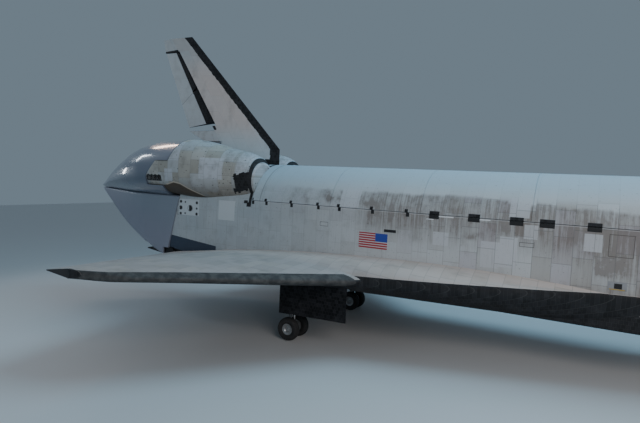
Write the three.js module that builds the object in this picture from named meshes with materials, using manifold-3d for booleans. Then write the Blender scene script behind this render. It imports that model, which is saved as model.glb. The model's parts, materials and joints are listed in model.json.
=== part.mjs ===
// Space shuttle orbiter on its landing gear, with the ferry tail cone fitted over its tail.
// A 1:2 scale model. Sizes and places are the full-size vehicle's own stations in inches:
// xo runs aft from ahead of the nose, y to port from the centre plane, and zo upwards.
// at() turns a station into millimetres of the model, +X forward, +Y to port, +Z up.

import * as THREE from 'three';
import { mergeVertices } from 'three/addons/utils/BufferGeometryUtils.js';
import Module from 'manifold-3d';

const wasm = await Module();
wasm.setup();

// Scale and attitude
const MODEL_SCALE = 0.5;
const INCH = 25.4 * MODEL_SCALE; // one inch of the vehicle, in millimetres of the model
const NOSE_DOWN = THREE.MathUtils.degToRad(3); // it stands nose down on its gear
const PORT = 1;
const STARBOARD = -1;
const REST_GAP = 0.3 / INCH; // between pieces that touch
const RUN_GAP = 0.45; // between pieces that move past each other
const PIN_RADIUS = 2; // hinge pins
const PIN_GAP = 0.05; // round a hinge pin, in its eye

// Lengthwise stations
const NOSE_TIP = 235.4;
const NOSE_CAP_END = 263;
const BAY_FRONT = 582;
const BAY_REAR = 1307;
const MAIN_GEAR_XO = 1172;
const NOSE_GEAR_XO = 381;
const CONE_TIP = 1930;

// Body
const BODY_HALF = 105; // half width of the middle body
const BELLY = 270;
const ROOF = 500;
const ROOF_CENTRE = 391; // centre of the round roof
const SILL = 420; // top of the side walls, where the bay doors hinge
const BAY_CENTRE = 400;
const BAY_RADIUS = 92;
const LEDGE = 419.3; // flat top of the side walls inside the doors, where a payload rests
const LEDGE_EDGE = 99.6;

// Bay doors
const DOOR_THICK = 4.5;
const DOOR_HINGE = { y: BODY_HALF + 0.7, zo: SILL };
const RADIATOR_THICK = 2;

// Wing and elevons
const WING_ROOT = BODY_HALF + REST_GAP;
const WING_TIP = 468.3;
const GLOVE_START = { xo: 560, y: 105 };
const GLOVE_SLOPE = 1 / Math.tan(THREE.MathUtils.degToRad(9)); // 81 degrees of sweep
const OUTER_EDGE_XO = 836; // the 45 degree leading edge crosses the centre plane here
const TRAILING_ROOT_XO = 1525.2;
const TRAILING_SLOPE = Math.tan(THREE.MathUtils.degToRad(10.056));
const HINGE_XO = 1387;
const HINGE_IN = { y: 120, zo: 292.5, r: 14.6 };
const HINGE_OUT = { y: 467, zo: 308, r: 7.6 };
const ELEVON_SPLIT = 312.5;
const ELEVON_ARM_HALF = 1; // the arm between the two elevons that carries both
const ELEVON_UP = THREE.MathUtils.degToRad(36);
const ELEVON_DOWN = THREE.MathUtils.degToRad(21);
const EDGE_DEPTH = 24; // how far the leading edge panels run aft
const EDGE_FROM = 184;
const EDGE_TO = 465.5;

// Fin and rudder
const FIN_ROOT_XO = 1277.9;
const FIN_ROOT_CHORD = 268.5;
const FIN_TIP = 815.7;
const FIN_TAPER = 0.50687; // chord lost for each inch of height
const FIN_FRONT_XO = 1313; // the foot of the leading edge is cut off upright here
const FIN_WEDGE = Math.tan(THREE.MathUtils.degToRad(5));
const HINGE_SHARE = 0.6; // the rudder hinge lies at this share of the fin's chord
const RUDDER_FOOT = 588; // at its trailing edge
const RUDDER_FOOT_SLOPE = 0.129; // the foot rises forwards
const FIN_FOOT = 590; // where the fin's rear edge steps forward to make room for the rudder
const RUDDER_HEAD = 779.1;
const HEAD_GAP = 2.4; // the turning rudder rises into it
const RUDDER_SPLIT = 684; // hinge height of the slot for the speed brake's arms
const FIN_TAIL = 6; // how far the fin runs aft of the hinge line, under the rudder
const FIN_STEP_XO = 1476;
const CONE_ROOF = 552;

// Aft end
const BASE_XO = 1505; // the slanted base, at zo BASE_ZO
const BASE_ZO = 420;
const BASE_SLANT = 0.242;
const FLAP_HINGE = { xo: 1532, zo: 287 };
const FLAP_RADIUS = 9.5;
const FLAP_END_XO = 1613;
const FLAP_HALF = 115;
const FLAP_ARMS = [-84, -28, 28, 84]; // y of each arm that carries the flap
const FLAP_ARM_HALF = 2;
const CONE_WALL = 2.5;
const THRUSTER_TOP = 498; // the thruster housing, between these heights
const THRUSTER_FOOT = 442;
const THRUSTER_END_XO = 1584;

// Landing gear
const MAIN_GEAR_Y = 136;
const MAIN_TYRE = { radius: 22.25, rim: 11, half: 8, offset: 17 };
const NOSE_TYRE = { radius: 16, rim: 8, half: 4.4, offset: 9.5 };
const GROUND_AT_MAIN = 159.8; // zo of the ground under the main wheels
const MAIN_AXLE_ZO = GROUND_AT_MAIN + MAIN_TYRE.radius / Math.cos(NOSE_DOWN);
const NOSE_AXLE_ZO =
  GROUND_AT_MAIN +
  (MAIN_GEAR_XO - NOSE_GEAR_XO) * Math.tan(NOSE_DOWN) +
  NOSE_TYRE.radius / Math.cos(NOSE_DOWN);
const NOSE_WELL = { front: 300, rear: 402, half: 22, roof: 318 };
const MAIN_WELL = { front: 1044, rear: 1190, inner: 109, outer: 166, roof: 308 };

// Places on the belly where a carrier's struts take hold: one in front and two behind
const ATTACH_FRONT = { xo: 432, y: 0, zo: 279 };
const ATTACH_REAR = [
  { xo: 1322, y: 94, zo: 273 },
  { xo: 1322, y: -94, zo: 273 },
];

// Crew hatch, in the port side
const HATCH = { xo: 493, zo: 352, radius: 20, depth: 5 };

// Finishes
const finish = (color, roughness, metalness = 0) =>
  new THREE.MeshStandardMaterial({ color, roughness, metalness });
const MATERIALS = {
  whiteTile: finish(0xb9bcbc, 0.85),
  greyFelt: finish(0xa9abaa, 0.9),
  blackTile: finish(0x1b1c1f, 0.75),
  carbon: finish(0x6e6f70, 0.6),
  glass: finish(0x15181c, 0.15),
  conePaint: finish(0xa7abb4, 0.25),
  coneSide: finish(0xb4b6bb, 0.45),
  radiator: finish(0xd5d8dc, 0.15, 0.9),
  gearPaint: finish(0xc6c8c8, 0.45, 0.3),
  wheelMetal: finish(0x8a8d90, 0.4, 0.8),
  tyre: finish(0x1c1c1d, 0.85),
};

const at = (xo, y, zo) => new THREE.Vector3((MAIN_GEAR_XO - xo) * INCH, y * INCH, (zo - BELLY) * INCH);

// Solids

function solidOf(geometry) {
  geometry.deleteAttribute('normal');
  geometry.deleteAttribute('uv');
  const merged = mergeVertices(geometry, 1e-4);
  const index = merged.index.array;
  const positions = merged.attributes.position.array;
  const make = (tris) =>
    new wasm.Manifold(
      new wasm.Mesh({ numProp: 3, vertProperties: new Float32Array(positions), triVerts: tris })
    );
  const solid = make(new Uint32Array(index));
  if (solid.volume() > 0) return solid;
  const turned = new Uint32Array(index);
  for (let i = 0; i < turned.length; i += 3) [turned[i], turned[i + 1]] = [turned[i + 1], turned[i]];
  return make(turned);
}

function geometryOf(solid) {
  const mesh = solid.getMesh();
  const geometry = new THREE.BufferGeometry();
  geometry.setAttribute('position', new THREE.BufferAttribute(mesh.vertProperties, 3));
  geometry.setIndex(new THREE.BufferAttribute(mesh.triVerts, 1));
  return geometry;
}

// A closed skin over rings of points, one ring after another, with a flat cap on each end.
// plane names the two coordinates in which the end rings are drawn.
function loft(rings, plane = ['y', 'z']) {
  const count = rings[0].length;
  const points = rings.flat();
  const faces = [];
  for (let r = 0; r + 1 < rings.length; r++) {
    for (let i = 0; i < count; i++) {
      const next = (i + 1) % count;
      const a = r * count;
      const b = a + count;
      faces.push(a + i, a + next, b + next, a + i, b + next, b + i);
    }
  }
  const cap = (r, last) => {
    const outline = rings[r].map((p) => new THREE.Vector2(p[plane[0]], p[plane[1]]));
    const keep = THREE.ShapeUtils.isClockWise(outline) !== last;
    for (const [i, j, k] of THREE.ShapeUtils.triangulateShape(outline, [])) {
      faces.push(r * count + i, r * count + (keep ? j : k), r * count + (keep ? k : j));
    }
  };
  cap(0, false);
  cap(rings.length - 1, true);
  const geometry = new THREE.BufferGeometry().setFromPoints(points);
  geometry.setIndex(faces);
  return solidOf(geometry);
}

// A block between two stations.
function block(xo0, xo1, y0, y1, zo0, zo1) {
  const size = at(xo0, y1, zo1).sub(at(xo1, y0, zo0));
  const box = new THREE.BoxGeometry(size.x, size.y, size.z);
  const centre = at((xo0 + xo1) / 2, (y0 + y1) / 2, (zo0 + zo1) / 2);
  return solidOf(box.translate(centre.x, centre.y, centre.z));
}

// A plate: an outline drawn in the side view, as [xo, zo] corners, from y0 to y1.
function sidePlate(corners, y0, y1) {
  return loft(
    [y0, y1].map((y) => corners.map(([xo, zo]) => at(xo, y, zo))),
    ['x', 'z']
  );
}

// A prism: an outline drawn in the plan view, as [xo, y] corners, from zo0 to zo1.
function planPrism(corners, zo0, zo1) {
  return loft(
    [zo0, zo1].map((zo) => corners.map(([xo, y]) => at(xo, y, zo))),
    ['x', 'y']
  );
}

// A round bar from one station to another.
function bar(from, to, radius, sides = 16) {
  const a = at(...from);
  const b = at(...to);
  const geometry = new THREE.CylinderGeometry(radius * INCH, radius * INCH, a.distanceTo(b), sides);
  const turn = new THREE.Quaternion().setFromUnitVectors(
    new THREE.Vector3(0, 1, 0),
    b.clone().sub(a).normalize()
  );
  geometry.applyQuaternion(turn);
  const middle = a.add(b).multiplyScalar(0.5);
  return solidOf(geometry.translate(middle.x, middle.y, middle.z));
}

// A body turned about an axle along y: profile of [radius, y] points that closes on itself.
function turnedOnAxle(profile, xo, y, zo, sides) {
  const points = profile.map(([r, along]) => new THREE.Vector2(r * INCH, along * INCH));
  const geometry = new THREE.LatheGeometry([...points, points[0]], sides);
  const centre = at(xo, y, zo);
  return solidOf(geometry.translate(centre.x, centre.y, centre.z));
}

const join = (...solids) => solids.reduce((sum, next) => sum.add(next));
const mix = (a, b, share) => a + (b - a) * share;

// Body sections: xo, half width, bottom, height of the widest place, top, and how square the
// upper and lower halves are (2 is an ellipse, large is a box).
const section = (xo, half, bottom, wide, top, upper, lower) => ({
  xo, half, bottom, wide, top, upper, lower,
});
const NOSE_SECTIONS = [
  section(NOSE_TIP, 0.6, 338.4, 339, 339.6, 2, 2),
  section(237, 10, 327.5, 337, 350, 2, 2),
  section(241, 18, 319, 335, 357, 2, 2),
  section(249, 27, 311.5, 333, 365, 2, 2.1),
  section(NOSE_CAP_END, 39, 304, 331, 374, 2, 2.3),
];
const FORWARD_SECTIONS = [
  section(NOSE_CAP_END, 39, 304, 331, 374, 2, 2.3),
  section(285, 51, 297, 329, 384, 2, 2.5),
  section(315, 62, 291, 328, 395, 2, 2.8),
  section(350, 72, 285, 328, 407, 2, 3.1),
  section(391, 81, 280, 329, 420, 2, 3.6),
  section(420, 86, 277.5, 331, 448, 2, 4),
  section(445, 90.5, 276, 334, 468.5, 2.05, 4.4),
  section(470, 94.5, 274.5, 341, 482, 2.1, 5),
  section(500, 98.5, 273, 352, 491, 2.15, 6.5),
  section(540, 102.5, 271.5, 371, 498, 2.1, 12),
  section(BAY_FRONT, BODY_HALF, BELLY, ROOF_CENTRE, ROOF, 2, 40),
];
const AFT_SECTIONS = [
  section(BAY_REAR, BODY_HALF, BELLY, ROOF_CENTRE, ROOF, 2, 40),
  section(1340, 106, 271, 391, 500, 2.1, 40),
  section(1400, 109, 274, 395, 500, 2.3, 30),
  section(1460, 113, 281, 400, 500, 2.5, 25),
  section(1545, 118, 294, 408, 500, 2.7, 20),
];
const CONE_UPPER_SECTIONS = [
  section(1470, 149, 402, 465, CONE_ROOF - 3, 2.5, 2.5),
  section(1510, 151, 402, 465, CONE_ROOF - 1, 2.45, 2.5),
  section(1560, 149, 402, 465, CONE_ROOF, 2.4, 2.5),
  section(1613, 143, 402, 465, CONE_ROOF, 2.3, 2.5),
  section(1660, 131, 402, 463, 548, 2.2, 2.5),
  section(1705, 115, 403, 460, 538, 2.15, 2.4),
  section(1750, 95, 405, 455, 521, 2.1, 2.3),
  section(1800, 71, 409, 448, 498, 2.1, 2.2),
  section(1850, 46, 413, 440, 472, 2, 2),
  section(1895, 21, 416, 432, 447, 2, 2),
  section(CONE_TIP, 1.2, 424.6, 427, 428.4, 2, 2),
];
const CONE_LOWER_SECTIONS = [
  section(1495, 118.5, 262, 360, 420, 30, 14),
  section(1560, 121, 276.5, 360, 420, 30, 14),
  section(1613, 119, 297, 365, 420, 30, 12),
  section(1660, 110, 314.5, 370, 420, 30, 10),
  section(1705, 96.5, 331, 378, 420, 30, 9),
  section(1750, 79.5, 347.5, 385, 420, 30, 8),
  section(1800, 59, 367, 395, 420, 24, 7),
  section(1850, 37, 387, 405, 420, 16, 6),
  section(1895, 17, 404.5, 413, 420, 10, 5),
  section(1925, 2.5, 417, 418.5, 420, 4, 4),
];
const UPPER_STEPS = 16;
const LOWER_STEPS = 12;

// A point of a body section, at an angle up from the port side, drawn in by depth.
function sectionPoint(s, angle, depth = 0) {
  const up = Math.sin(angle) >= 0;
  const power = 2 / (up ? s.upper : s.lower);
  const reach = (value) => Math.sign(value) * Math.abs(value) ** power;
  const height = up ? s.top - s.wide : s.wide - s.bottom;
  return at(
    s.xo,
    Math.max(s.half - depth, 0.2) * reach(Math.cos(angle)),
    s.wide + Math.max(height - depth, 0.2) * reach(Math.sin(angle))
  );
}

function bodyRing(s, depth = 0) {
  const ring = [];
  for (let i = 0; i < UPPER_STEPS; i++) ring.push(sectionPoint(s, (Math.PI * i) / UPPER_STEPS, depth));
  for (let i = 0; i < LOWER_STEPS; i++) {
    ring.push(sectionPoint(s, Math.PI * (1 + (i + 1e-9) / LOWER_STEPS), depth));
  }
  return ring;
}

const bodyLoft = (sections, depth = 0) => loft(sections.map((s) => bodyRing(s, depth)));

// The section of a body at any station between two rows of its table.
function sectionAt(sections, xo) {
  const after = sections.findIndex((s) => s.xo >= xo);
  const [a, b] = [sections[Math.max(after - 1, 0)], sections[after]];
  const share = b.xo === a.xo ? 0 : (xo - a.xo) / (b.xo - a.xo);
  const blend = Object.fromEntries(Object.keys(a).map((key) => [key, mix(a[key], b[key], share)]));
  return blend;
}

// A slab that follows the forward body's skin: four corners [xo, angle], from depth to depth.
function skinSlab(corners, shallow, deep, steps) {
  const rings = [shallow, deep].map((depth) => {
    const edge = [];
    corners.forEach((corner, i) => {
      const next = corners[(i + 1) % corners.length];
      for (let k = 0; k < steps; k++) {
        const share = k / steps;
        const s = sectionAt(FORWARD_SECTIONS, mix(corner[0], next[0], share));
        edge.push(sectionPoint(s, THREE.MathUtils.degToRad(mix(corner[1], next[1], share)), depth));
      }
    });
    return edge;
  });
  return loft(rings, ['y', 'z']);
}

// Cockpit windows: corners [xo, angle from the port side] of the port three.
const WINDOWS = [
  [[398, 87.3], [399.5, 68.5], [434.5, 71.5], [436, 87.6]],
  [[400.5, 65.5], [407, 48], [440.5, 51.5], [435, 68.5]],
  [[409.5, 45], [421, 29], [450.5, 32.5], [442, 48.5]],
];
const WINDOW_RECESS = 1;
const WINDOW_THICK = 3;
const WINDOW_EDGE = 0.25;

function windowSlabs(grow) {
  const mirror = (corners) => corners.map(([xo, angle]) => [xo, 180 - angle]);
  const spread = (corners) => {
    const centreXo = corners.reduce((sum, c) => sum + c[0], 0) / corners.length;
    const centreAngle = corners.reduce((sum, c) => sum + c[1], 0) / corners.length;
    return corners.map(([xo, angle]) => [
      xo + Math.sign(xo - centreXo) * grow,
      angle + Math.sign(angle - centreAngle) * grow,
    ]);
  };
  const shallow = grow > 0 ? -6 : WINDOW_RECESS;
  return [...WINDOWS, ...WINDOWS.map(mirror)].map((w) =>
    skinSlab(spread(w), shallow, WINDOW_RECESS + WINDOW_THICK, 1)
  );
}

// The inner frame that carries the panes, a band under the skin across all six windows.
function windowBand(grow) {
  const rings = [];
  const shallow = WINDOW_RECESS + WINDOW_THICK - 0.6 - grow;
  const deep = WINDOW_RECESS + WINDOW_THICK + 1.4 + grow;
  for (let angle = 31 - grow * 2; angle <= 149.01 + grow * 2; angle += (118 + 4 * grow) / 12) {
    const aside = Math.abs(angle - 90) / 60;
    const lower = 403 + 14 * aside * aside - grow;
    const upper = 430 + 15 * aside * aside + grow;
    const radians = THREE.MathUtils.degToRad(angle);
    const corner = (xo, depth) => sectionPoint(sectionAt(FORWARD_SECTIONS, xo), radians, depth);
    rings.push([corner(lower, shallow), corner(upper, shallow), corner(upper, deep), corner(lower, deep)]);
  }
  return loft(rings, ['x', 'z']);
}

// Nose and forward body

const hatchPlug = (grow) =>
  bar([HATCH.xo, 60 - grow, HATCH.zo], [HATCH.xo, 130, HATCH.zo], HATCH.radius + grow, 32);

function forwardBody() {
  const whole = bodyLoft(FORWARD_SECTIONS);
  const glazing = join(...windowSlabs(0), windowBand(0));
  const windowCut = join(...windowSlabs(WINDOW_EDGE), windowBand(REST_GAP));
  const wheelWell = block(
    NOSE_WELL.front, NOSE_WELL.rear, -NOSE_WELL.half, NOSE_WELL.half, 240, NOSE_WELL.roof
  );
  const moduleOutline = [
    [270, 44], [376, 57], [376, -57], [270, -44],
  ];
  const moduleBlock = planPrism(moduleOutline, 352, 430);
  const moduleCut = planPrism(
    moduleOutline.map(([xo, y]) => [xo + Math.sign(xo - 320) * REST_GAP, y + Math.sign(y) * REST_GAP]),
    352 - REST_GAP, 430
  );
  const skin = bodyLoft(FORWARD_SECTIONS, HATCH.depth);
  const hatchHole = hatchPlug(RUN_GAP).subtract(bodyLoft(FORWARD_SECTIONS, HATCH.depth + REST_GAP));
  return {
    fuselage: whole
      .subtract(windowCut)
      .subtract(wheelWell)
      .subtract(moduleCut)
      .subtract(hatchHole)
      .subtract(attachPocket(ATTACH_FRONT)),
    glazing,
    module: whole.intersect(moduleBlock),
    hatch: whole.intersect(hatchPlug(0)).subtract(skin),
  };
}

// Middle body: an open trough that is the payload bay, closed on top by two doors.

function troughOutline() {
  const outline = [
    [LEDGE_EDGE, LEDGE], [LEDGE_EDGE, SILL], [BODY_HALF, SILL], [BODY_HALF, BELLY + 2], [BODY_HALF - 2, BELLY],
  ];
  outline.push(...outline.map(([y, zo]) => [-y, zo]).reverse());
  const steps = 14;
  outline.push([-(BAY_RADIUS + 1), LEDGE]);
  for (let i = 0; i <= steps; i++) {
    const angle = Math.PI + (Math.PI * i) / steps;
    outline.push([BAY_RADIUS * Math.cos(angle), BAY_CENTRE + BAY_RADIUS * Math.sin(angle)]);
  }
  outline.push([BAY_RADIUS + 1, LEDGE]);
  return outline;
}

const alongBody = (outline, from, to) =>
  loft([from, to].map((xo) => outline.map(([y, zo]) => at(xo, y, zo))));

const ROOF_RADIUS = ROOF - ROOF_CENTRE;
const DOOR_STEPS = 14;

// A strip of the round roof between two angles and two radii.
function roofStrip(side, outer, inner, fromAngle, toAngle, steps) {
  const arc = (radius, a, b) =>
    Array.from({ length: steps + 1 }, (_, i) => {
      const angle = mix(a, b, i / steps);
      return [side * radius * Math.cos(angle), ROOF_CENTRE + radius * Math.sin(angle)];
    });
  return [...arc(outer, fromAngle, toAngle), ...arc(inner, toAngle, fromAngle)];
}

const DOOR_FOOT = Math.asin((SILL + REST_GAP - ROOF_CENTRE) / (ROOF_RADIUS - DOOR_THICK)); // on the sill
const DOOR_HEAD = Math.PI / 2 - RUN_GAP / 2 / ROOF_RADIUS;

function bayDoor(side) {
  const inner = ROOF_RADIUS - DOOR_THICK;
  const outline = roofStrip(side, ROOF_RADIUS, inner, DOOR_FOOT, DOOR_HEAD, DOOR_STEPS);
  return alongBody(outline, BAY_FRONT + RUN_GAP, BAY_REAR - RUN_GAP);
}

function radiator(side) {
  const outer = ROOF_RADIUS - DOOR_THICK - REST_GAP;
  const step = (DOOR_HEAD - DOOR_FOOT) / DOOR_STEPS;
  const outline = roofStrip(
    side, outer, outer - RADIATOR_THICK, DOOR_FOOT + step, DOOR_HEAD - step, DOOR_STEPS - 2
  );
  return alongBody(outline, BAY_FRONT + 12, BAY_REAR - 30);
}

// Aft body

// Everything aft of a slanted plane that passes the base at height BASE_ZO, moved aft by shift.
function aftOfBase(shift) {
  const baseAt = (zo) => BASE_XO + shift + (BASE_ZO - zo) * BASE_SLANT;
  return sidePlate([[baseAt(200), 200], [baseAt(620), 620], [2000, 620], [2000, 200]], -200, 200);
}

function aftBody(depth = 0) {
  const flapRoom = block(
    FLAP_HINGE.xo - FLAP_RADIUS - RUN_GAP - depth, 1600, -200, 200,
    200, FLAP_HINGE.zo + FLAP_RADIUS + RUN_GAP + depth
  );
  return bodyLoft(AFT_SECTIONS, depth).subtract(aftOfBase(-depth)).subtract(flapRoom);
}

// A flat-floored pocket in the belly, where a carrier's strut takes hold.
const attachPocket = ({ xo, y, zo }) => block(xo - 7, xo + 7, y - 6, y + 6, 200, zo);

// The body flap hangs on arms of the aft body, each with an eye on a pin across a slot of the flap.
function flapArms() {
  const { xo, zo } = FLAP_HINGE;
  return FLAP_ARMS.map((y) => {
    const [y0, y1] = [y - FLAP_ARM_HALF, y + FLAP_ARM_HALF];
    const arm = block(xo - 20, xo, y0, y1, zo - 4.4, zo + 4.4).add(bar([xo, y0, zo], [xo, y1, zo], 4.6, 24));
    return arm.subtract(bar([xo, y0 - 1, zo], [xo, y1 + 1, zo], PIN_RADIUS + PIN_GAP, 24));
  });
}

function bodyFlap() {
  const steps = 8;
  const ring = (y, end) => {
    const points = [];
    for (let i = 0; i <= steps; i++) {
      const angle = Math.PI * (0.5 + i / steps);
      points.push(
        at(
          FLAP_HINGE.xo + FLAP_RADIUS * Math.cos(angle),
          y,
          FLAP_HINGE.zo + FLAP_RADIUS * Math.sin(angle)
        )
      );
    }
    points.push(at(FLAP_END_XO, end, FLAP_HINGE.zo - 1), at(FLAP_END_XO, end, FLAP_HINGE.zo + 1));
    return points;
  };
  const flap = loft([ring(-FLAP_HALF, 4 - FLAP_HALF), ring(FLAP_HALF, FLAP_HALF - 4)], ['x', 'z']);
  const { xo, zo } = FLAP_HINGE;
  const slots = FLAP_ARMS.map((y) => {
    const half = FLAP_ARM_HALF + RUN_GAP;
    return block(xo - 20, xo + 7, y - half, y + half, zo - 20, zo + 20);
  });
  const pins = FLAP_ARMS.map((y) => bar([xo, y - 6, zo], [xo, y + 6, zo], PIN_RADIUS, 24));
  return join(flap.subtract(join(...slots)), ...pins);
}

// Engine pods on the shoulders: xo, inner and outer edge, bottom, top, squareness.
const pod = (xo, inner, outer, bottom, top, power) => ({ xo, inner, outer, bottom, top, power });
const POD_SECTIONS = [
  pod(BAY_REAR + REST_GAP, 27, 103, 424, 496.5, 2),
  pod(1318, 23, 108, 421.5, 511.5, 2.1),
  pod(1335, 22.5, 113, 419, 520, 2.2),
  pod(1360, 22, 119.5, 417, 526, 2.25),
  pod(1390, 22, 127.5, 416, 531.5, 2.3),
  pod(1425, 21, 139, 415, 541, 2.45),
  pod(1465, 21, 148, 416, 547.5, 2.6),
  pod(1510, 21, 151, 420, 550, 2.7),
  pod(1560, 24, 149, 424, 550, 2.8),
  pod(1600, 28, 145, 428, 549, 2.8),
];
const POD_STEPS = 24;

// Where the tail cone's front edge meets the pods, moved outwards by gap.
function coneFront(gap) {
  const corners = [
    [1300, 700], [1411 + gap, 700], [1511 + gap, THRUSTER_TOP + gap],
    [THRUSTER_END_XO - 33 + gap, THRUSTER_TOP + gap], [THRUSTER_END_XO + gap, THRUSTER_TOP - 33],
    [THRUSTER_END_XO + gap, THRUSTER_FOOT - gap],
    [1530 + gap, THRUSTER_FOOT - gap], [1530 + gap, 300], [1300, 300],
  ];
  return sidePlate(corners, -220, 220);
}

function enginePod(side) {
  const rings = POD_SECTIONS.map((s) => {
    const [yc, a] = [(s.inner + s.outer) / 2, (s.outer - s.inner) / 2];
    const [zc, b] = [(s.top + s.bottom) / 2, (s.top - s.bottom) / 2];
    return Array.from({ length: POD_STEPS }, (_, i) => {
      const angle = (2 * Math.PI * i) / POD_STEPS;
      const reach = (v) => Math.sign(v) * Math.abs(v) ** (2 / s.power);
      return at(s.xo, side * (yc + a * reach(Math.cos(angle))), zc + b * reach(Math.sin(angle)));
    });
  });
  return loft(rings).intersect(coneFront(0)).subtract(aftBody(-REST_GAP)).subtract(coneLower(-REST_GAP));
}

// Ferry tail cone: a glossy upper shell over a flat-sided lower one, both hollow.

function coneUpper() {
  const inner = bodyLoft(CONE_UPPER_SECTIONS.slice(0, -1), CONE_WALL);
  const below = block(1400, 2000, -200, 200, 300, BASE_ZO + REST_GAP);
  return bodyLoft(CONE_UPPER_SECTIONS)
    .subtract(inner)
    .subtract(below)
    .subtract(coneFront(REST_GAP))
    .subtract(aftBody(-REST_GAP));
}

// The room the body flap needs under the cone, up to the top of its travel.
function flapRoom(grow) {
  const corners = [
    [1400, 180], [1400, 297.5 + grow], [1530, 297.5 + grow], [FLAP_END_XO + 5 + grow, 306.5 + grow],
    [FLAP_END_XO + 5 + grow, 180],
  ];
  return sidePlate(corners, -FLAP_HALF - 1.5 - grow, FLAP_HALF + 1.5 + grow);
}

function coneLower(depth = 0) {
  const notch = block(1400, 1551, -200, 200, 200, 296 + RUN_GAP);
  const forward = block(1400, 1600, -200, 200, 200, 600).subtract(aftOfBase(REST_GAP + depth));
  const inner = bodyLoft(CONE_LOWER_SECTIONS.slice(0, -1), depth + CONE_WALL);
  return bodyLoft(CONE_LOWER_SECTIONS, depth)
    .subtract(forward)
    .subtract(notch)
    .subtract(flapRoom(0))
    .subtract(inner.subtract(flapRoom(CONE_WALL)));
}

// Wing

const leadingEdge = (y) => {
  const glove = GLOVE_START.xo + (y - GLOVE_START.y) * GLOVE_SLOPE;
  const outer = OUTER_EDGE_XO + y + 0.18 * Math.max(y - 440, 0) ** 1.75;
  return Math.min(glove, outer);
};
const trailingEdge = (y) => TRAILING_ROOT_XO - y * TRAILING_SLOPE;

// Spanwise stations of the wing: y, height of the leading edge, and how far that edge is drawn up.
const WING_STATIONS = [
  [WING_ROOT, 300, 23], [112, 300, 23], [120, 300, 22.8], [129, 300, 17.8], [140, 300, 12], [150, 300, 7.5],
  [160, 300, 4], [176.7, 300, 0], [190, 300.5, 0], [215, 301.5, 0], [255, 303, 0], [312.5, 305.5, 0],
  [380, 308.5, 0], [440, 310.5, 0], [460, 310.5, 0], [WING_TIP, 309.8, 0],
];
const LIFT_REACH = { upper: 100, lower: 210 }; // how far aft of the edge the drawing up is felt
const THICKNESS_SHAPE = (u) => 2.319 * Math.sqrt(u) * (1 - u) ** 0.75;

const hingeAt = (y) => {
  const share = (y - HINGE_IN.y) / (HINGE_OUT.y - HINGE_IN.y);
  return { zo: mix(HINGE_IN.zo, HINGE_OUT.zo, share), r: mix(HINGE_IN.r, HINGE_OUT.r, share) };
};

function wingRing(side, [y, edgeZo, lift]) {
  const front = leadingEdge(y);
  const chord = trailingEdge(y) - front;
  const endZo = 287 + ((y - GLOVE_START.y) * 18) / 363;
  const hinge = hingeAt(y);
  const cove = hinge.r + RUN_GAP;
  // thickness and bow make the surface meet the elevon's nose at the hinge
  const uHinge = (HINGE_XO - front) / chord;
  const thick = (2 * cove + 0.3) / THICKNESS_SHAPE(uHinge);
  const bow = (hinge.zo - mix(edgeZo, endZo, uHinge)) / (uHinge * (1 - uHinge));
  const surface = (xo, up) => {
    const u = Math.max((xo - front) / chord, 0);
    const middle = mix(edgeZo, endZo, u) + bow * u * (1 - u);
    const fade = Math.max(1 - (xo - front) / (up > 0 ? LIFT_REACH.upper : LIFT_REACH.lower), 0);
    return middle + (up * thick * THICKNESS_SHAPE(u)) / 2 + lift * Math.min(fade, 1) ** 2;
  };
  const lips = { upper: HINGE_XO - cove * Math.sin(ELEVON_UP), lower: HINGE_XO - cove * Math.sin(ELEVON_DOWN) };
  const ring = [];
  const steps = 10;
  for (let i = 0; i < steps; i++) {
    const xo = mix(lips.upper, front, Math.sin((Math.PI / 2) * (i / steps)));
    ring.push(at(xo, side * y, surface(xo, 1)));
  }
  for (let i = 0; i <= steps; i++) {
    const xo = mix(front, lips.lower, 1 - Math.cos((Math.PI / 2) * (i / steps)));
    ring.push(at(xo, side * y, surface(xo, -1)));
  }
  const arcSteps = 6;
  const from = 1.5 * Math.PI - ELEVON_DOWN;
  const to = 0.5 * Math.PI + ELEVON_UP;
  for (let i = 0; i <= arcSteps; i++) {
    const angle = mix(from, to, i / arcSteps);
    ring.push(at(HINGE_XO + cove * Math.cos(angle), side * y, hinge.zo + cove * Math.sin(angle)));
  }
  return ring;
}

// The strip of plan view that the leading edge panels take up, drawn in by gap.
function edgePrism(side, gap) {
  const reach = (y, depth) => leadingEdge(y) + depth - gap;
  const corners = [
    [OUTER_EDGE_XO + 100, EDGE_FROM + gap], [reach(EDGE_FROM + gap, EDGE_DEPTH), EDGE_FROM + gap],
    [reach(440, EDGE_DEPTH), 440], [reach(453, EDGE_DEPTH - 4), 453],
    [reach(EDGE_TO - gap, EDGE_DEPTH - 10), EDGE_TO - gap], [OUTER_EDGE_XO + 350, EDGE_TO - gap],
  ];
  return planPrism(corners.map(([xo, y]) => [xo, side * y]), 200, 400);
}

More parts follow.
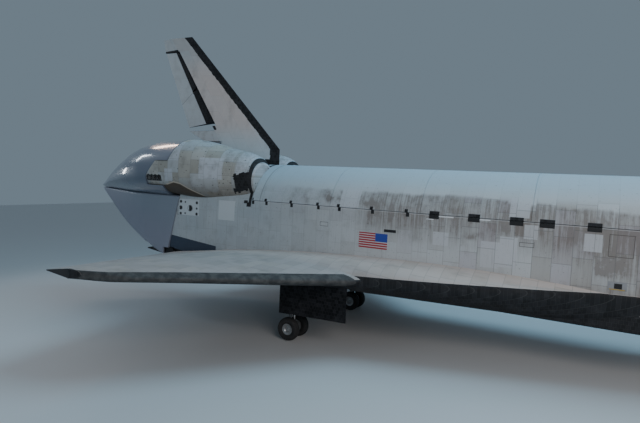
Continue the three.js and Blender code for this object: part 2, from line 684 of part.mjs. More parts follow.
function wing(side) {
  const whole = loft(WING_STATIONS.map((s) => wingRing(side, s)), ['x', 'z']);
  const [y0, y1] = [side * MAIN_WELL.inner, side * MAIN_WELL.outer].sort((a, b) => a - b);
  const well = block(MAIN_WELL.front, MAIN_WELL.rear, y0, y1, 200, MAIN_WELL.roof);
  const hinge = hingeAt(ELEVON_SPLIT);
  const across = (half, radius) =>
    bar([HINGE_XO, side * (ELEVON_SPLIT - half), hinge.zo], [HINGE_XO, side * (ELEVON_SPLIT + half), hinge.zo], radius, 24);
  const [a0, a1] = [ELEVON_SPLIT - ELEVON_ARM_HALF, ELEVON_SPLIT + ELEVON_ARM_HALF];
  const arm = block(HINGE_XO - 20, HINGE_XO, ...[side * a0, side * a1].sort((a, b) => a - b), hinge.zo - 6, hinge.zo + 6)
    .add(across(ELEVON_ARM_HALF, 6))
    .subtract(across(3, PIN_RADIUS + PIN_GAP));
  return {
    panel: whole.subtract(edgePrism(side, 0)).subtract(well).subtract(aftBody(-REST_GAP)).add(arm),
    edge: whole.intersect(edgePrism(side, REST_GAP)),
  };
}

function elevon(side, from, to) {
  const steps = 8;
  const rings = [from, to].map((y) => {
    const { zo, r } = hingeAt(y);
    const ring = Array.from({ length: steps + 1 }, (_, i) => {
      const angle = Math.PI * (0.5 + i / steps);
      return at(HINGE_XO + r * Math.cos(angle), side * y, zo + r * Math.sin(angle));
    });
    const endZo = zo - 2;
    ring.push(at(trailingEdge(y), side * y, endZo - 0.8), at(trailingEdge(y), side * y, endZo + 0.8));
    return ring;
  });
  // a stub at the end by the arm turns in the arm's eye
  const near = Math.abs(from - ELEVON_SPLIT) < Math.abs(to - ELEVON_SPLIT) ? from : to;
  const { zo } = hingeAt(ELEVON_SPLIT);
  const inwards = Math.sign(near - ELEVON_SPLIT);
  const stub = bar(
    [HINGE_XO, side * (ELEVON_SPLIT + inwards * 0.2), zo], [HINGE_XO, side * (near + inwards * 5), zo],
    PIN_RADIUS, 24
  );
  return loft(rings, ['x', 'z']).add(stub);
}

// Fin, rudder and speed brake

const finEdge = (zo) => FIN_ROOT_XO + (zo - ROOF);
const finChord = (zo) => FIN_ROOT_CHORD - FIN_TAPER * (zo - ROOF);
const rudderHinge = (zo) => finEdge(zo) + HINGE_SHARE * finChord(zo);
const finHalf = (zo) => HINGE_SHARE * finChord(zo) * FIN_WEDGE;
const FIN_LEAN = Math.atan(1 - HINGE_SHARE * FIN_TAPER); // the hinge line leans aft by this
const REAR_SHARE = 0.62; // how wide the rudder is behind its fairing, for its width at the hinge

// A point of the rudder: zo of its hinge point, distance aft square to the hinge, and y.
function rudderPoint(zo, aft, y) {
  return at(rudderHinge(zo) + aft * Math.cos(FIN_LEAN), y, zo - aft * Math.sin(FIN_LEAN));
}

// The fin's level outline: a blunt nose and two flat sides that part towards the hinge.
function finRing(zo) {
  const front = Math.max(finEdge(zo), FIN_FRONT_XO);
  const back = rudderHinge(zo) + FIN_TAIL;
  const half = (xo) => Math.max(((xo - finEdge(zo)) / (HINGE_SHARE * finChord(zo))) * finHalf(zo), 1.7);
  const port = [[front, 0.7], [front + 2, half(front + 2)], [mix(front, back, 0.5), half(mix(front, back, 0.5))]];
  port.push([back, half(back)]);
  const starboard = port.map(([xo, y]) => [xo, -y]).reverse();
  return [...port, ...starboard].map(([xo, y]) => at(xo, y, zo));
}

function fin() {
  const heights = [ROOF + REST_GAP, 535.1, 560, 680, 800, FIN_TIP];
  const blade = loft(heights.map((zo) => finRing(zo)), ['x', 'y']);
  // the tip runs aft over the rudder, and the foot runs aft under it
  const wedge = (zo, y) => {
    const hinge = rudderHinge(zo);
    const end = 1684 + 0.235 * (zo - RUDDER_HEAD);
    return [[hinge - 4, y * finHalf(zo)], [end, y * 1.2]];
  };
  const overhang = (zo0, zo1) =>
    loft(
      [zo0, zo1].map((zo) => [...wedge(zo, 1), ...wedge(zo, -1).reverse()].map(([xo, y]) => at(xo, y, zo))),
      ['x', 'y']
    );
  const tip = overhang(RUDDER_HEAD + HEAD_GAP, FIN_TIP);
  const coneRoom = block(FIN_STEP_XO, 1700, -60, 60, 400, CONE_ROOF + REST_GAP);
  const behind = sidePlate(
    [
      [rudderHinge(FIN_FOOT), FIN_FOOT],
      [rudderHinge(RUDDER_HEAD + HEAD_GAP), RUDDER_HEAD + HEAD_GAP],
      [1760, RUDDER_HEAD + HEAD_GAP], [1760, FIN_FOOT],
    ],
    -40, 40
  );
  const hollow = loft(
    [RUDDER_FOOT - 30, RUDDER_HEAD + 24].map((zo) => coreRing(zo, finHalf(zo) + RUN_GAP, 30)),
    ['x', 'y']
  ).intersect(block(1300, 1800, -60, 60, FIN_FOOT, RUDDER_HEAD + HEAD_GAP));
  return join(blade, tip)
    .subtract(behind)
    .subtract(hollow)
    .subtract(coneRoom)
    .subtract(hingeBar(RUDDER_FOOT - 30, FIN_FOOT + 4, PIN_RADIUS + PIN_GAP));
}

// A round bar along the rudder's hinge line, between two heights of it.
const hingeBar = (zo0, zo1, radius) =>
  bar([rudderHinge(zo0), 0, zo0], [rudderHinge(zo1), 0, zo1], radius, 24);

// Section of the rudder's fairing, square to the hinge: round in front, and ending aft in an arc
// round the hinge, which the speed brake's panels turn past.
function coreRing(zo, radius, reach) {
  const rear = Math.asin((radius * REAR_SHARE) / reach);
  const points = [];
  for (let i = -2; i <= 2; i++) {
    points.push([reach * Math.cos((rear * i) / 2), reach * Math.sin((rear * i) / 2)]);
  }
  const steps = 8;
  for (let i = 0; i <= steps; i++) {
    const angle = Math.PI * (0.5 + i / steps);
    points.push([radius * Math.cos(angle), radius * Math.sin(angle)]);
  }
  return points.map(([aft, y]) => rudderPoint(zo, aft, y));
}

const rudderReach = (zo) => 218.4 - 0.223 * zo; // to the trailing edge
const fairingReach = (zo) => 68.9 - 0.076 * zo;
const fairingHalf = (zo) => finHalf(zo) - 0.3;

// What lies between the rudder's level head and its foot, which rises forwards to the hinge.
function rudderSlice(solid) {
  const foot = (xo) => RUDDER_FOOT + (1594 - xo) * RUDDER_FOOT_SLOPE;
  const corners = [[1400, foot(1400)], [1800, foot(1800)], [1800, RUDDER_HEAD], [1400, RUDDER_HEAD]];
  return solid.intersect(sidePlate(corners, -80, 80));
}

function rudderFairing() {
  const rings = [RUDDER_FOOT - 30, RUDDER_HEAD + 60].map((zo) =>
    coreRing(zo, fairingHalf(zo), fairingReach(zo))
  );
  const slot = loft(
    [RUDDER_SPLIT - 3, RUDDER_SPLIT + 3].map((zo) =>
      [[-30, -30], [60, -30], [60, 30], [-30, 30]].map(([aft, y]) => rudderPoint(zo, aft, y))
    ),
    ['x', 'y']
  );
  const fairing = rudderSlice(loft(rings, ['x', 'y']).subtract(slot));
  return join(
    fairing,
    hingeBar(RUDDER_SPLIT - 5, RUDDER_SPLIT + 5, PIN_RADIUS),
    hingeBar(RUDDER_FOOT - 20, RUDDER_FOOT + 17, PIN_RADIUS)
  );
}

// One panel of the speed brake, with the arm that turns on the fairing's pin.
function speedBrakePanel(side) {
  const arc = (zo, from, to, radius) =>
    [0, 1, 2].map((i) => {
      const angle = mix(from, to, i / 2);
      return [radius * Math.cos(angle), radius * Math.sin(angle)];
    });
  const rings = [RUDDER_FOOT - 30, RUDDER_HEAD + 80].map((zo) => {
    const near = fairingReach(zo) + RUN_GAP;
    const half = fairingHalf(zo) * REAR_SHARE;
    const front = arc(zo, Math.asin(RUN_GAP / 2 / near), Math.asin(half / near), near);
    const corners = [...front, [rudderReach(zo), 1.4], [rudderReach(zo), RUN_GAP / 2]];
    return corners.map(([aft, y]) => rudderPoint(zo, aft, side * y));
  });
  const middle = RUDDER_SPLIT + side * 1.3;
  const arm = loft(
    [middle - 1, middle + 1].map((zo) => {
      const near = fairingReach(zo);
      const half = fairingHalf(zo) * REAR_SHARE - 0.4;
      const eye = Array.from({ length: 5 }, (_, i) => Math.PI * (0.5 + i / 4)).map((angle) => [
        4.5 * Math.cos(angle), 4.5 * Math.sin(angle),
      ]);
      const corners = [...eye, [near - 4, -0.2], [near + 4, RUN_GAP], [near + 4, half - 0.6], [near - 4, half]];
      return corners.map(([aft, y]) => rudderPoint(zo, aft, side * y));
    }),
    ['x', 'y']
  ).subtract(hingeBar(RUDDER_SPLIT - 10, RUDDER_SPLIT + 10, PIN_RADIUS + PIN_GAP));
  return rudderSlice(loft(rings, ['x', 'y'])).add(arm);
}

// The braking parachute's housing: a pointed fairing at the fin's foot, under the rudder.
function parachuteHousing() {
  const front = (zo) => rudderHinge(zo) + FIN_TAIL + REST_GAP;
  const [foot, head] = [CONE_ROOF + REST_GAP, RUDDER_FOOT - 9.5];
  const rings = [-1, 1].map((side) => [
    at(front(foot), side * finHalf(foot), foot),
    at(1532, side * finHalf(foot) * 0.85, foot),
    at(1594.5, side * 1.2, head),
    at(front(head), side * finHalf(head), head),
  ]);
  return loft(rings, ['x', 'z']);
}

// Landing gear

function tyre(spec, xo, y, zo) {
  const { radius, rim, half } = spec;
  const inner = rim + REST_GAP;
  const profile = [
    [inner, -half * 0.72], [radius * 0.78, -half], [radius * 0.93, -half * 0.85], [radius, -half * 0.45],
    [radius, half * 0.45], [radius * 0.93, half * 0.85], [radius * 0.78, half], [inner, half * 0.72],
  ];
  return turnedOnAxle(profile, xo, y, zo, 24);
}

// An axle with its two wheels.
function wheelPair(spec, xo, y, zo, axleRadius) {
  const { rim, half, offset } = spec;
  const wheel = (centre) =>
    turnedOnAxle(
      [
        [0.02, -half * 0.35], [rim * 0.55, -half * 0.35], [rim * 0.62, -half * 0.6], [rim, -half * 0.7],
        [rim, half * 0.7], [rim * 0.62, half * 0.6], [rim * 0.55, half * 0.35], [0.02, half * 0.35],
      ],
      xo, centre, zo, 24
    );
  const axle = bar([xo, y - offset, zo], [xo, y + offset, zo], axleRadius, 32);
  return join(axle, wheel(y - offset), wheel(y + offset));
}

function mainLeg(side) {
  const y = side * MAIN_GEAR_Y;
  const [xo, zo] = [MAIN_GEAR_XO, MAIN_AXLE_ZO];
  const roof = MAIN_WELL.roof - REST_GAP;
  const cylinder = bar([xo, y, roof], [xo, y, 222], 6, 20);
  const piston = bar([xo, y, 224], [xo, y, zo + 3], 4.2, 20);
  const collar = bar([xo, y - 6.5, zo], [xo, y + 6.5, zo], 5.6, 20);
  const bore = bar([xo, y - 9, zo], [xo, y + 9, zo], 3 + PIN_GAP, 32);
  const brace = bar([xo - 3, y, 240], [xo - 66, y, roof - 2], 2.6, 12);
  const trunnion = bar(
    [xo, side * (MAIN_WELL.inner + REST_GAP), 296], [xo, side * (MAIN_WELL.outer - REST_GAP), 296], 4, 16
  );
  const braceFoot = block(xo - 74, xo - 58, y - 5, y + 5, roof - 8, roof);
  const link = sidePlate(
    [[xo + 4, 232], [xo + 15, 214], [xo + 4, 192], [xo + 4, 196], [xo + 11, 214], [xo + 4, 228]],
    y - 3, y + 3
  );
  return join(cylinder, piston, collar, brace, trunnion, braceFoot, link).subtract(bore);
}

function noseLeg() {
  const xo = NOSE_GEAR_XO;
  const roof = NOSE_WELL.roof - REST_GAP;
  const cylinder = bar([xo, 0, roof], [xo, 0, 252], 5.4, 20);
  const bore = bar([xo, 0, 240], [xo, 0, 276], 3.6 + 0.06, 20);
  const wall = NOSE_WELL.half - REST_GAP;
  const trunnion = bar([xo, -wall, 304], [xo, wall, 304], 3.2, 16);
  const brace = bar([xo - 4, 0, 266], [xo - 48, 0, roof - 2], 2.2, 12);
  const braceFoot = block(xo - 56, xo - 42, -4.5, 4.5, roof - 7, roof);
  return join(cylinder, trunnion, brace, braceFoot).subtract(bore);
}

function noseFork() {
  const [xo, zo] = [NOSE_GEAR_XO, NOSE_AXLE_ZO];
  const piston = bar([xo, 0, 275], [xo, 0, zo + 2], 3.6, 20);
  const collar = bar([xo, -3.8, zo], [xo, 3.8, zo], 4.6, 20);
  const bore = bar([xo, -6, zo], [xo, 6, zo], 2.4 + PIN_GAP, 32);
  const steering = bar([xo, 0, 251.4], [xo, 0, 246], 6, 20);
  const link = sidePlate(
    [[xo + 3, 246], [xo + 12, 236], [xo + 3, 223], [xo + 3, 226], [xo + 9, 236], [xo + 3, 243]],
    -2, 2
  );
  return join(piston, collar, steering, link).subtract(bore);
}

const noseDoor = (side) => {
  const wall = side * (NOSE_WELL.half - REST_GAP);
  const [y0, y1] = [wall, wall - side * 1.6].sort((a, b) => a - b);
  return sidePlate([[303, 301], [399, 292], [399, 258], [303, 268]], y0, y1);
};

const mainDoor = (side) => {
  const wall = side * (MAIN_WELL.outer - REST_GAP);
  const [y0, y1] = [wall, wall - side * 1.8].sort((a, b) => a - b);
  return sidePlate([[MAIN_WELL.front + 2, 292], [1187, 292], [1187, 214], [MAIN_WELL.front + 2, 219]], y0, y1);
};

// Assembly

const airframe = new THREE.Group();
function add(name, solid, material) {
  const mesh = new THREE.Mesh(geometryOf(solid), MATERIALS[material]);
  mesh.name = name;
  airframe.add(mesh);
}

add('nose_cap', loft([...NOSE_SECTIONS.slice(0, -1), { ...NOSE_SECTIONS.at(-1), xo: NOSE_CAP_END - REST_GAP }]
  .map((s) => bodyRing(s))), 'carbon');
const forward = forwardBody();
add('forward_fuselage', forward.fuselage, 'whiteTile');
add('forward_thruster_module', forward.module, 'whiteTile');
add('cockpit_glazing', forward.glazing, 'glass');
add('crew_hatch', forward.hatch, 'whiteTile');
add('mid_fuselage', alongBody(troughOutline(), BAY_FRONT + REST_GAP, BAY_REAR - REST_GAP), 'whiteTile');
add('aft_fuselage', join(aftBody(), ...flapArms()).subtract(join(...ATTACH_REAR.map(attachPocket))), 'whiteTile');
add('body_flap', bodyFlap(), 'blackTile');
add('tail_cone_upper', coneUpper(), 'conePaint');
add('tail_cone_lower', coneLower(), 'coneSide');
add('fin', fin(), 'whiteTile');
add('parachute_housing', parachuteHousing(), 'whiteTile');
add('rudder_hinge_fairing', rudderFairing(), 'blackTile');
add('nose_gear_leg', noseLeg(), 'gearPaint');
add('nose_gear_fork', noseFork(), 'gearPaint');
add('nose_wheels', wheelPair(NOSE_TYRE, NOSE_GEAR_XO, 0, NOSE_AXLE_ZO, 2.4), 'wheelMetal');

for (const [side, word] of [[PORT, 'left'], [STARBOARD, 'right']]) {
  add(`payload_bay_door_${word}`, bayDoor(side), 'whiteTile');
  add(`radiator_${word}`, radiator(side), 'radiator');
  add(`engine_pod_${word}`, enginePod(side), 'greyFelt');
  add(`speed_brake_${word}`, speedBrakePanel(side), 'whiteTile');
  const parts = wing(side);
  add(`wing_${word}`, parts.panel, 'whiteTile');
  add(`wing_leading_edge_${word}`, parts.edge, 'carbon');
  add(`inboard_elevon_${word}`, elevon(side, HINGE_IN.y + 0.5, ELEVON_SPLIT - 1.5), 'whiteTile');
  add(`outboard_elevon_${word}`, elevon(side, ELEVON_SPLIT + 1.5, HINGE_OUT.y - 1), 'whiteTile');
  add(`main_gear_leg_${word}`, mainLeg(side), 'gearPaint');
  const y = side * MAIN_GEAR_Y;
  add(`main_wheels_${word}`, wheelPair(MAIN_TYRE, MAIN_GEAR_XO, y, MAIN_AXLE_ZO, 3), 'wheelMetal');
  add(`main_tyre_inner_${word}`, tyre(MAIN_TYRE, MAIN_GEAR_XO, y - side * MAIN_TYRE.offset, MAIN_AXLE_ZO), 'tyre');
  add(`main_tyre_outer_${word}`, tyre(MAIN_TYRE, MAIN_GEAR_XO, y + side * MAIN_TYRE.offset, MAIN_AXLE_ZO), 'tyre');
  add(`nose_tyre_${word}`, tyre(NOSE_TYRE, NOSE_GEAR_XO, side * NOSE_TYRE.offset, NOSE_AXLE_ZO), 'tyre');
  add(`nose_gear_door_${word}`, noseDoor(side), 'blackTile');
  add(`main_gear_door_${word}`, mainDoor(side), 'blackTile');
}

// It stands nose down on its wheels, with the origin on the ground under the middle of its box.
airframe.rotation.y = NOSE_DOWN;
const shuttle = new THREE.Group();
shuttle.add(airframe);
shuttle.updateMatrixWorld(true);
const reach = new THREE.Box3().setFromObject(shuttle, true);
const middle = reach.getCenter(new THREE.Vector3());
airframe.position.set(-middle.x, -middle.y, -reach.min.z);
shuttle.updateMatrixWorld(true);

export default shuttle;
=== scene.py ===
# Space shuttle orbiter with its ferry tail cone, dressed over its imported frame.
#
# Places are the full-size vehicle's own stations in inches: xo runs aft from ahead of the nose,
# y to port from the centre plane, and zo upwards. station() turns one into metres of this 1:2
# model, which stands nose down on its gear.

import json
import math

import bmesh
import bpy
import numpy as np
from bpy.props import FloatProperty, FloatVectorProperty, PointerProperty
from mathutils import Matrix, Vector


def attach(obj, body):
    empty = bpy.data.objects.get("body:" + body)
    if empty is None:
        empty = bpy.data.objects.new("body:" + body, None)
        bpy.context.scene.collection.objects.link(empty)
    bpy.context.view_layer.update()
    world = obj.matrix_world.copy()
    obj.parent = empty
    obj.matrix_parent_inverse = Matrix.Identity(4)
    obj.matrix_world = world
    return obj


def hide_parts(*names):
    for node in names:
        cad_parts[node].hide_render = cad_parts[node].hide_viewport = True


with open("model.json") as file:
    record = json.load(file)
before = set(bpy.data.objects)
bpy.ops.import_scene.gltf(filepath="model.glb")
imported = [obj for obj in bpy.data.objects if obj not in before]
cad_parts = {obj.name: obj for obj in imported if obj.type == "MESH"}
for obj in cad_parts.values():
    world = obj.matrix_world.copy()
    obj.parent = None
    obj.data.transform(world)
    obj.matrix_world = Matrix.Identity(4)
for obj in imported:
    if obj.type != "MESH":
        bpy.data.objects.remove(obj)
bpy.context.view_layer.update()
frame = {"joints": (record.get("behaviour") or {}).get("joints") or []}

bl_info = {
    "name": "Orbiter Dressing",
    "version": (1, 0, 0),
    "blender": (4, 5, 0),
    "location": "View3D > Sidebar > Orbiter",
    "description": "Dresses the packed frame of a space shuttle orbiter with tiles, blankets, gear and bay",
    "category": "Add Mesh",
}

# Scale, attitude and lengthwise stations
INCH = 0.0127
NOSE_DOWN = math.radians(3)
MAIN_XO = 1172.0
BELLY = 270.0
ROOF = 500.0
ROOF_CENTRE = 391.0
ROOF_RADIUS = ROOF - ROOF_CENTRE
BODY_HALF = 105.0
SILL = 420.0
BAY_CENTRE = 400.0
BAY_RADIUS = 92.0
BAY_FRONT = 582.0
BAY_REAR = 1307.0
NOSE_TIP = 235.4
NOSE_CAP_END = 263.0
DOOR_THICK = 4.5
RUN_GAP = 0.45
REST_GAP = 0.024
DOOR_SEAMS = (761.0, 941.0, 1121.0, 1281.0)
RADIATOR_FRONT = 594.0
RADIATOR_LENGTH = 170.75

# Landing gear
MAIN_GEAR_Y = 136.0
NOSE_GEAR_XO = 381.0
MAIN_TYRE = {"radius": 22.25, "rim": 11.0, "half": 8.0, "offset": 17.0}
NOSE_TYRE = {"radius": 16.0, "rim": 8.0, "half": 4.4, "offset": 9.5}
GROUND_AT_MAIN = 159.8
MAIN_AXLE_ZO = GROUND_AT_MAIN + MAIN_TYRE["radius"] / math.cos(NOSE_DOWN)
NOSE_AXLE_ZO = (
    GROUND_AT_MAIN
    + (MAIN_XO - NOSE_GEAR_XO) * math.tan(NOSE_DOWN)
    + NOSE_TYRE["radius"] / math.cos(NOSE_DOWN)
)
NOSE_WELL = {"front": 300.0, "rear": 402.0, "half": 22.0, "roof": 318.0}
MAIN_WELL = {"front": 1044.0, "rear": 1190.0, "inner": 109.0, "outer": 166.0, "roof": 308.0}

# Where station (MAIN_XO, 0, BELLY) lies in the frame, from the main wheels' own hinge
_wheel = next(j for j in frame["joints"] if j["name"] == "main_wheels_left_roll")["pos_m"]
_axle_up = (MAIN_AXLE_ZO - BELLY) * INCH
ORIGIN_X = _wheel[0] - _axle_up * math.sin(NOSE_DOWN)
ORIGIN_Z = _wheel[2] - _axle_up * math.cos(NOSE_DOWN)

PORT = 1
STARBOARD = -1
SIDES = ((PORT, "left"), (STARBOARD, "right"))


def station(xo, y, zo):
    """Metres of the model for a place in inches: turned nose down about the main gear's station."""
    xo, y, zo = np.broadcast_arrays(*(np.asarray(v, dtype=float) for v in (xo, y, zo)))
    ahead = (MAIN_XO - xo) * INCH
    up = (zo - BELLY) * INCH
    x = ORIGIN_X + ahead * math.cos(NOSE_DOWN) + up * math.sin(NOSE_DOWN)
    z = ORIGIN_Z - ahead * math.sin(NOSE_DOWN) + up * math.cos(NOSE_DOWN)
    return np.stack([x, y * INCH, z], axis=-1)


# Meshes


def mesh_of(name, points, faces):
    """A mesh from an array of points and groups of faces, each group an array with one row a face."""
    faces = [np.atleast_2d(np.asarray(group, dtype=np.int32)) for group in faces]
    totals = np.concatenate([np.full(len(group), group.shape[1]) for group in faces])
    loops = np.concatenate([group.ravel() for group in faces])
    starts = np.concatenate([[0], np.cumsum(totals)[:-1]])
    mesh = bpy.data.meshes.new(name)
    mesh.vertices.add(len(points))
    mesh.vertices.foreach_set("co", np.ascontiguousarray(points, dtype=np.float32).ravel())
    mesh.loops.add(len(loops))
    mesh.loops.foreach_set("vertex_index", loops.astype(np.int32))
    mesh.polygons.add(len(totals))
    mesh.polygons.foreach_set("loop_start", starts.astype(np.int32))
    mesh.update(calc_edges=True)
    mesh.validate()
    return mesh


def grid_faces(rows, columns, around):
    """Quads between neighbouring rows of a grid of points; around joins the last column to the first."""
    r = np.arange(rows - 1)[:, None]
    c = np.arange(columns if around else columns - 1)[None, :]
    right = (c + 1) % columns
    corners = [r * columns + c, r * columns + right, (r + 1) * columns + right, (r + 1) * columns + c]
    return np.stack([np.broadcast_to(k, (rows - 1, c.size)) for k in corners], axis=-1).reshape(-1, 4)


def turned_out(mesh):
    """The mesh with its doubles merged and its faces turned outwards."""
    work = bmesh.new()
    work.from_mesh(mesh)
    bmesh.ops.remove_doubles(work, verts=work.verts, dist=1e-5)
    bmesh.ops.recalc_face_normals(work, faces=work.faces)
    work.to_mesh(mesh)
    work.free()
    return mesh


def new_object(name, mesh):
    piece = bpy.data.objects.new(name, mesh)
    bpy.context.scene.collection.objects.link(piece)
    return piece


def tube(name, rings):
    """A closed skin over rings of points, one a row, with a flat face on each end."""
    rings = np.asarray(rings, dtype=float)
    rows, columns = rings.shape[:2]
    ends = [np.arange(columns), (rows - 1) * columns + np.arange(columns)]
    faces = [grid_faces(rows, columns, True), ends[0], ends[1]]
    return new_object(name, turned_out(mesh_of(name, rings.reshape(-1, 3), faces)))


def block(name, xo, y, zo):
    """A box between two stations, each argument a pair."""
    outline = [(xo[0], zo[0]), (xo[1], zo[0]), (xo[1], zo[1]), (xo[0], zo[1])]
    return side_prism(name, outline, y[0], y[1])


def side_prism(name, outline, y0, y1):
    """A prism: an outline of (xo, zo) corners drawn in the side view, from y0 to y1."""
    xo, zo = np.array(outline, dtype=float).T
    return tube(name, [station(xo, y, zo) for y in (y0, y1)])


def plan_prism(name, outline, zo0, zo1):
    """A prism: an outline of (xo, y) corners drawn in the plan view, from zo0 to zo1."""
    xo, y = np.array(outline, dtype=float).T
    return tube(name, [station(xo, y, zo) for zo in (zo0, zo1)])


def square_to(along):
    """Two unit vectors square to a line and to each other."""
    across = np.cross(along, [0.0, 1.0, 0.0] if abs(along[1]) < 0.9 else [1.0, 0.0, 0.0])
    across /= np.linalg.norm(across)
    return across, np.cross(along, across)


def round_angles(count):
    """Even angles round a whole turn."""
    return np.linspace(0, 2 * np.pi, count, endpoint=False)


def rod(name, start, end, radius, sides=32):
    """A round bar between two places in metres: a circle square to the line, at each end."""
    start, end = (np.asarray(p, dtype=float) for p in (start, end))
    along = (end - start) / np.linalg.norm(end - start)
    across, upright = square_to(along)
    angle = round_angles(sides)[:, None]
    circle = radius * (np.cos(angle) * across + np.sin(angle) * upright)
    return tube(name, [p + circle for p in (start, end)])


def joined(name, pieces):
    """One object that holds the meshes of several."""
    work = bmesh.new()
    for piece in pieces:
        work.from_mesh(piece.data)
    mesh = bpy.data.meshes.new(name)
    work.to_mesh(mesh)
    work.free()
    discard(pieces)
    return new_object(name, mesh)


def discard(pieces):
    for piece in pieces:
        mesh = piece.data
        bpy.data.objects.remove(piece)
        bpy.data.meshes.remove(mesh)


def carve(piece, cutter, operation="DIFFERENCE"):
    """Cuts a piece by a cutter, which is used up."""
    cut = piece.modifiers.new("cut", "BOOLEAN")
    cut.operation = operation
    cut.solver = "EXACT"
    cut.object = cutter
    evaluated = piece.evaluated_get(bpy.context.evaluated_depsgraph_get())
    mesh = bpy.data.meshes.new_from_object(evaluated)
    piece.modifiers.clear()
    old = piece.data
    piece.data = mesh
    bpy.data.meshes.remove(old)
    discard([cutter])
    return piece


def weld(piece):
    """Merges the points that cuts left on top of each other."""
    work = bmesh.new()
    work.from_mesh(piece.data)
    bmesh.ops.remove_doubles(work, verts=work.verts, dist=5e-6)
    bmesh.ops.dissolve_degenerate(work, edges=work.edges, dist=5e-6)
    work.to_mesh(piece.data)
    work.free()
    return piece


def dress(piece, finish, body="airframe", replaces=(), angle=35):
    """Gives a piece its finish and shading, and ties it to the body it rides on."""
    piece.data.materials.clear()
    piece.data.materials.append(finish)
    piece.data.polygons.foreach_set("material_index", np.zeros(len(piece.data.polygons), dtype=np.int32))
    piece.data.shade_smooth()
    piece.data.set_sharp_from_angle(angle=math.radians(angle))
    if replaces:
        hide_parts(*replaces)
    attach(piece, body)
    return piece


# Sections of the body


def smooth_rows(table, at):
    """Reads a table between its rows by cubic pieces. Each row's slope is the harmonic mean of the
    slopes on its two sides, so that nothing overshoots."""
    key, rows = table[:, 0], table[:, 1:]
    step = np.diff(key)[:, None]
    slope = np.diff(rows, axis=0) / step
    product = slope[:-1] * slope[1:]
    total = slope[:-1] + slope[1:]
    inner = np.where(product > 0, 2 * product / np.where(total == 0, 1, total), 0)
    tangent = np.concatenate([slope[:1], inner, slope[-1:]])
    i = np.clip(np.searchsorted(key, at, side="right") - 1, 0, len(key) - 2)
    t = ((at - key[i]) / (key[i + 1] - key[i]))[:, None]
    h = step[i]
    return (
        rows[i] * (1 + 2 * t) * (1 - t) ** 2
        + h * tangent[i] * t * (1 - t) ** 2
        + rows[i + 1] * t**2 * (3 - 2 * t)
        + h * tangent[i + 1] * t**2 * (t - 1)
    )


# The least half width or height of a body's section, however deep it is drawn in
LEAST_HALF = 0.2
# Each row: xo, half width, bottom, height of the widest place, top, and how square the upper and
# the lower half are (2 is an ellipse, large is a box)
FORWARD_BODY = np.array([
    (NOSE_TIP, 0.6, 338.4, 339, 339.6, 2, 2),
    (237, 10, 327.5, 337, 350, 2, 2),
    (241, 18, 319, 335, 357, 2, 2),
    (249, 27, 311.5, 333, 365, 2, 2.1),
    (263, 39, 304, 331, 374, 2, 2.3),
    (285, 51, 297, 329, 384, 2, 2.5),
    (315, 62, 291, 328, 395, 2, 2.8),
    (350, 72, 285, 328, 407, 2, 3.1),
    (391, 81, 280, 329, 420, 2, 3.6),
    (420, 86, 277.5, 331, 448, 2, 4),
    (445, 90.5, 276, 334, 468.5, 2.05, 4.4),
    (470, 94.5, 274.5, 341, 482, 2.1, 5),
    (500, 98.5, 273, 352, 491, 2.15, 6.5),
    (540, 102.5, 271.5, 371, 498, 2.1, 12),
    (582, 105, 270, 391, 500, 2, 40),
])
AFT_BODY = np.array([
    (1307, 105, 270, 391, 500, 2, 40),
    (1340, 106, 271, 391, 500, 2.1, 40),
    (1400, 109, 274, 395, 500, 2.3, 30),
    (1460, 113, 281, 400, 500, 2.5, 25),
    (1545, 118, 294, 408, 500, 2.7, 20),
])
CONE_UPPER = np.array([
    (1470, 149, 402, 465, 549, 2.5, 2.5),
    (1510, 151, 402, 465, 551, 2.45, 2.5),
    (1560, 149, 402, 465, 552, 2.4, 2.5),
    (1613, 143, 402, 465, 552, 2.3, 2.5),
    (1660, 131, 402, 463, 548, 2.2, 2.5),
    (1705, 115, 403, 460, 538, 2.15, 2.4),
    (1750, 95, 405, 455, 521, 2.1, 2.3),
    (1800, 71, 409, 448, 498, 2.1, 2.2),
    (1850, 46, 413, 440, 472, 2, 2),
    (1895, 21, 416, 432, 447, 2, 2),
    (1930, 1.2, 424.6, 427, 428.4, 2, 2),
])
CONE_LOWER = np.array([
    (1495, 118.5, 262, 360, 420, 30, 14),
    (1560, 121, 276.5, 360, 420, 30, 14),
    (1613, 119, 297, 365, 420, 30, 12),
    (1660, 110, 314.5, 370, 420, 30, 10),
    (1705, 96.5, 331, 378, 420, 30, 9),
    (1750, 79.5, 347.5, 385, 420, 30, 8),
    (1800, 59, 367, 395, 420, 24, 7),
    (1850, 37, 387, 405, 420, 16, 6),
    (1895, 17, 404.5, 413, 420, 10, 5),
    (1925, 2.5, 417, 418.5, 420, 4, 4),
])
# Each row: xo, inner and outer edge, bottom, top, squareness
ENGINE_POD = np.array([
    (1307.03, 27, 103, 424, 496.5, 2),
    (1318, 23, 108, 421.5, 511.5, 2.1),
    (1335, 22.5, 113, 419, 520, 2.2),
    (1360, 22, 119.5, 417, 526, 2.25),
    (1390, 22, 127.5, 416, 531.5, 2.3),
    (1425, 21, 139, 415, 541, 2.45),
    (1465, 21, 148, 416, 547.5, 2.6),
    (1510, 21, 151, 420, 550, 2.7),
    (1560, 24, 149, 424, 550, 2.8),
    (1600, 28, 145, 428, 549, 2.8),
])


def nose_key(xo):
    """The nose is blunt: its tables read evenly against the root of the distance from the tip."""
    return np.sqrt(np.maximum(xo - NOSE_TIP, 0))


def body_rows(table, xo):
    """The columns of a body's table at stations xo, each in the stations' shape."""
    at = xo.ravel()
    if table is FORWARD_BODY:
        table = np.column_stack([nose_key(table[:, 0]), table[:, 1:]])
        at = nose_key(at)
    return smooth_rows(table, at).T.reshape(6, *xo.shape)


def signed_power(value, power):
    """The power of a value's size, with the value's sign."""
    return np.sign(value) * np.abs(value) ** power


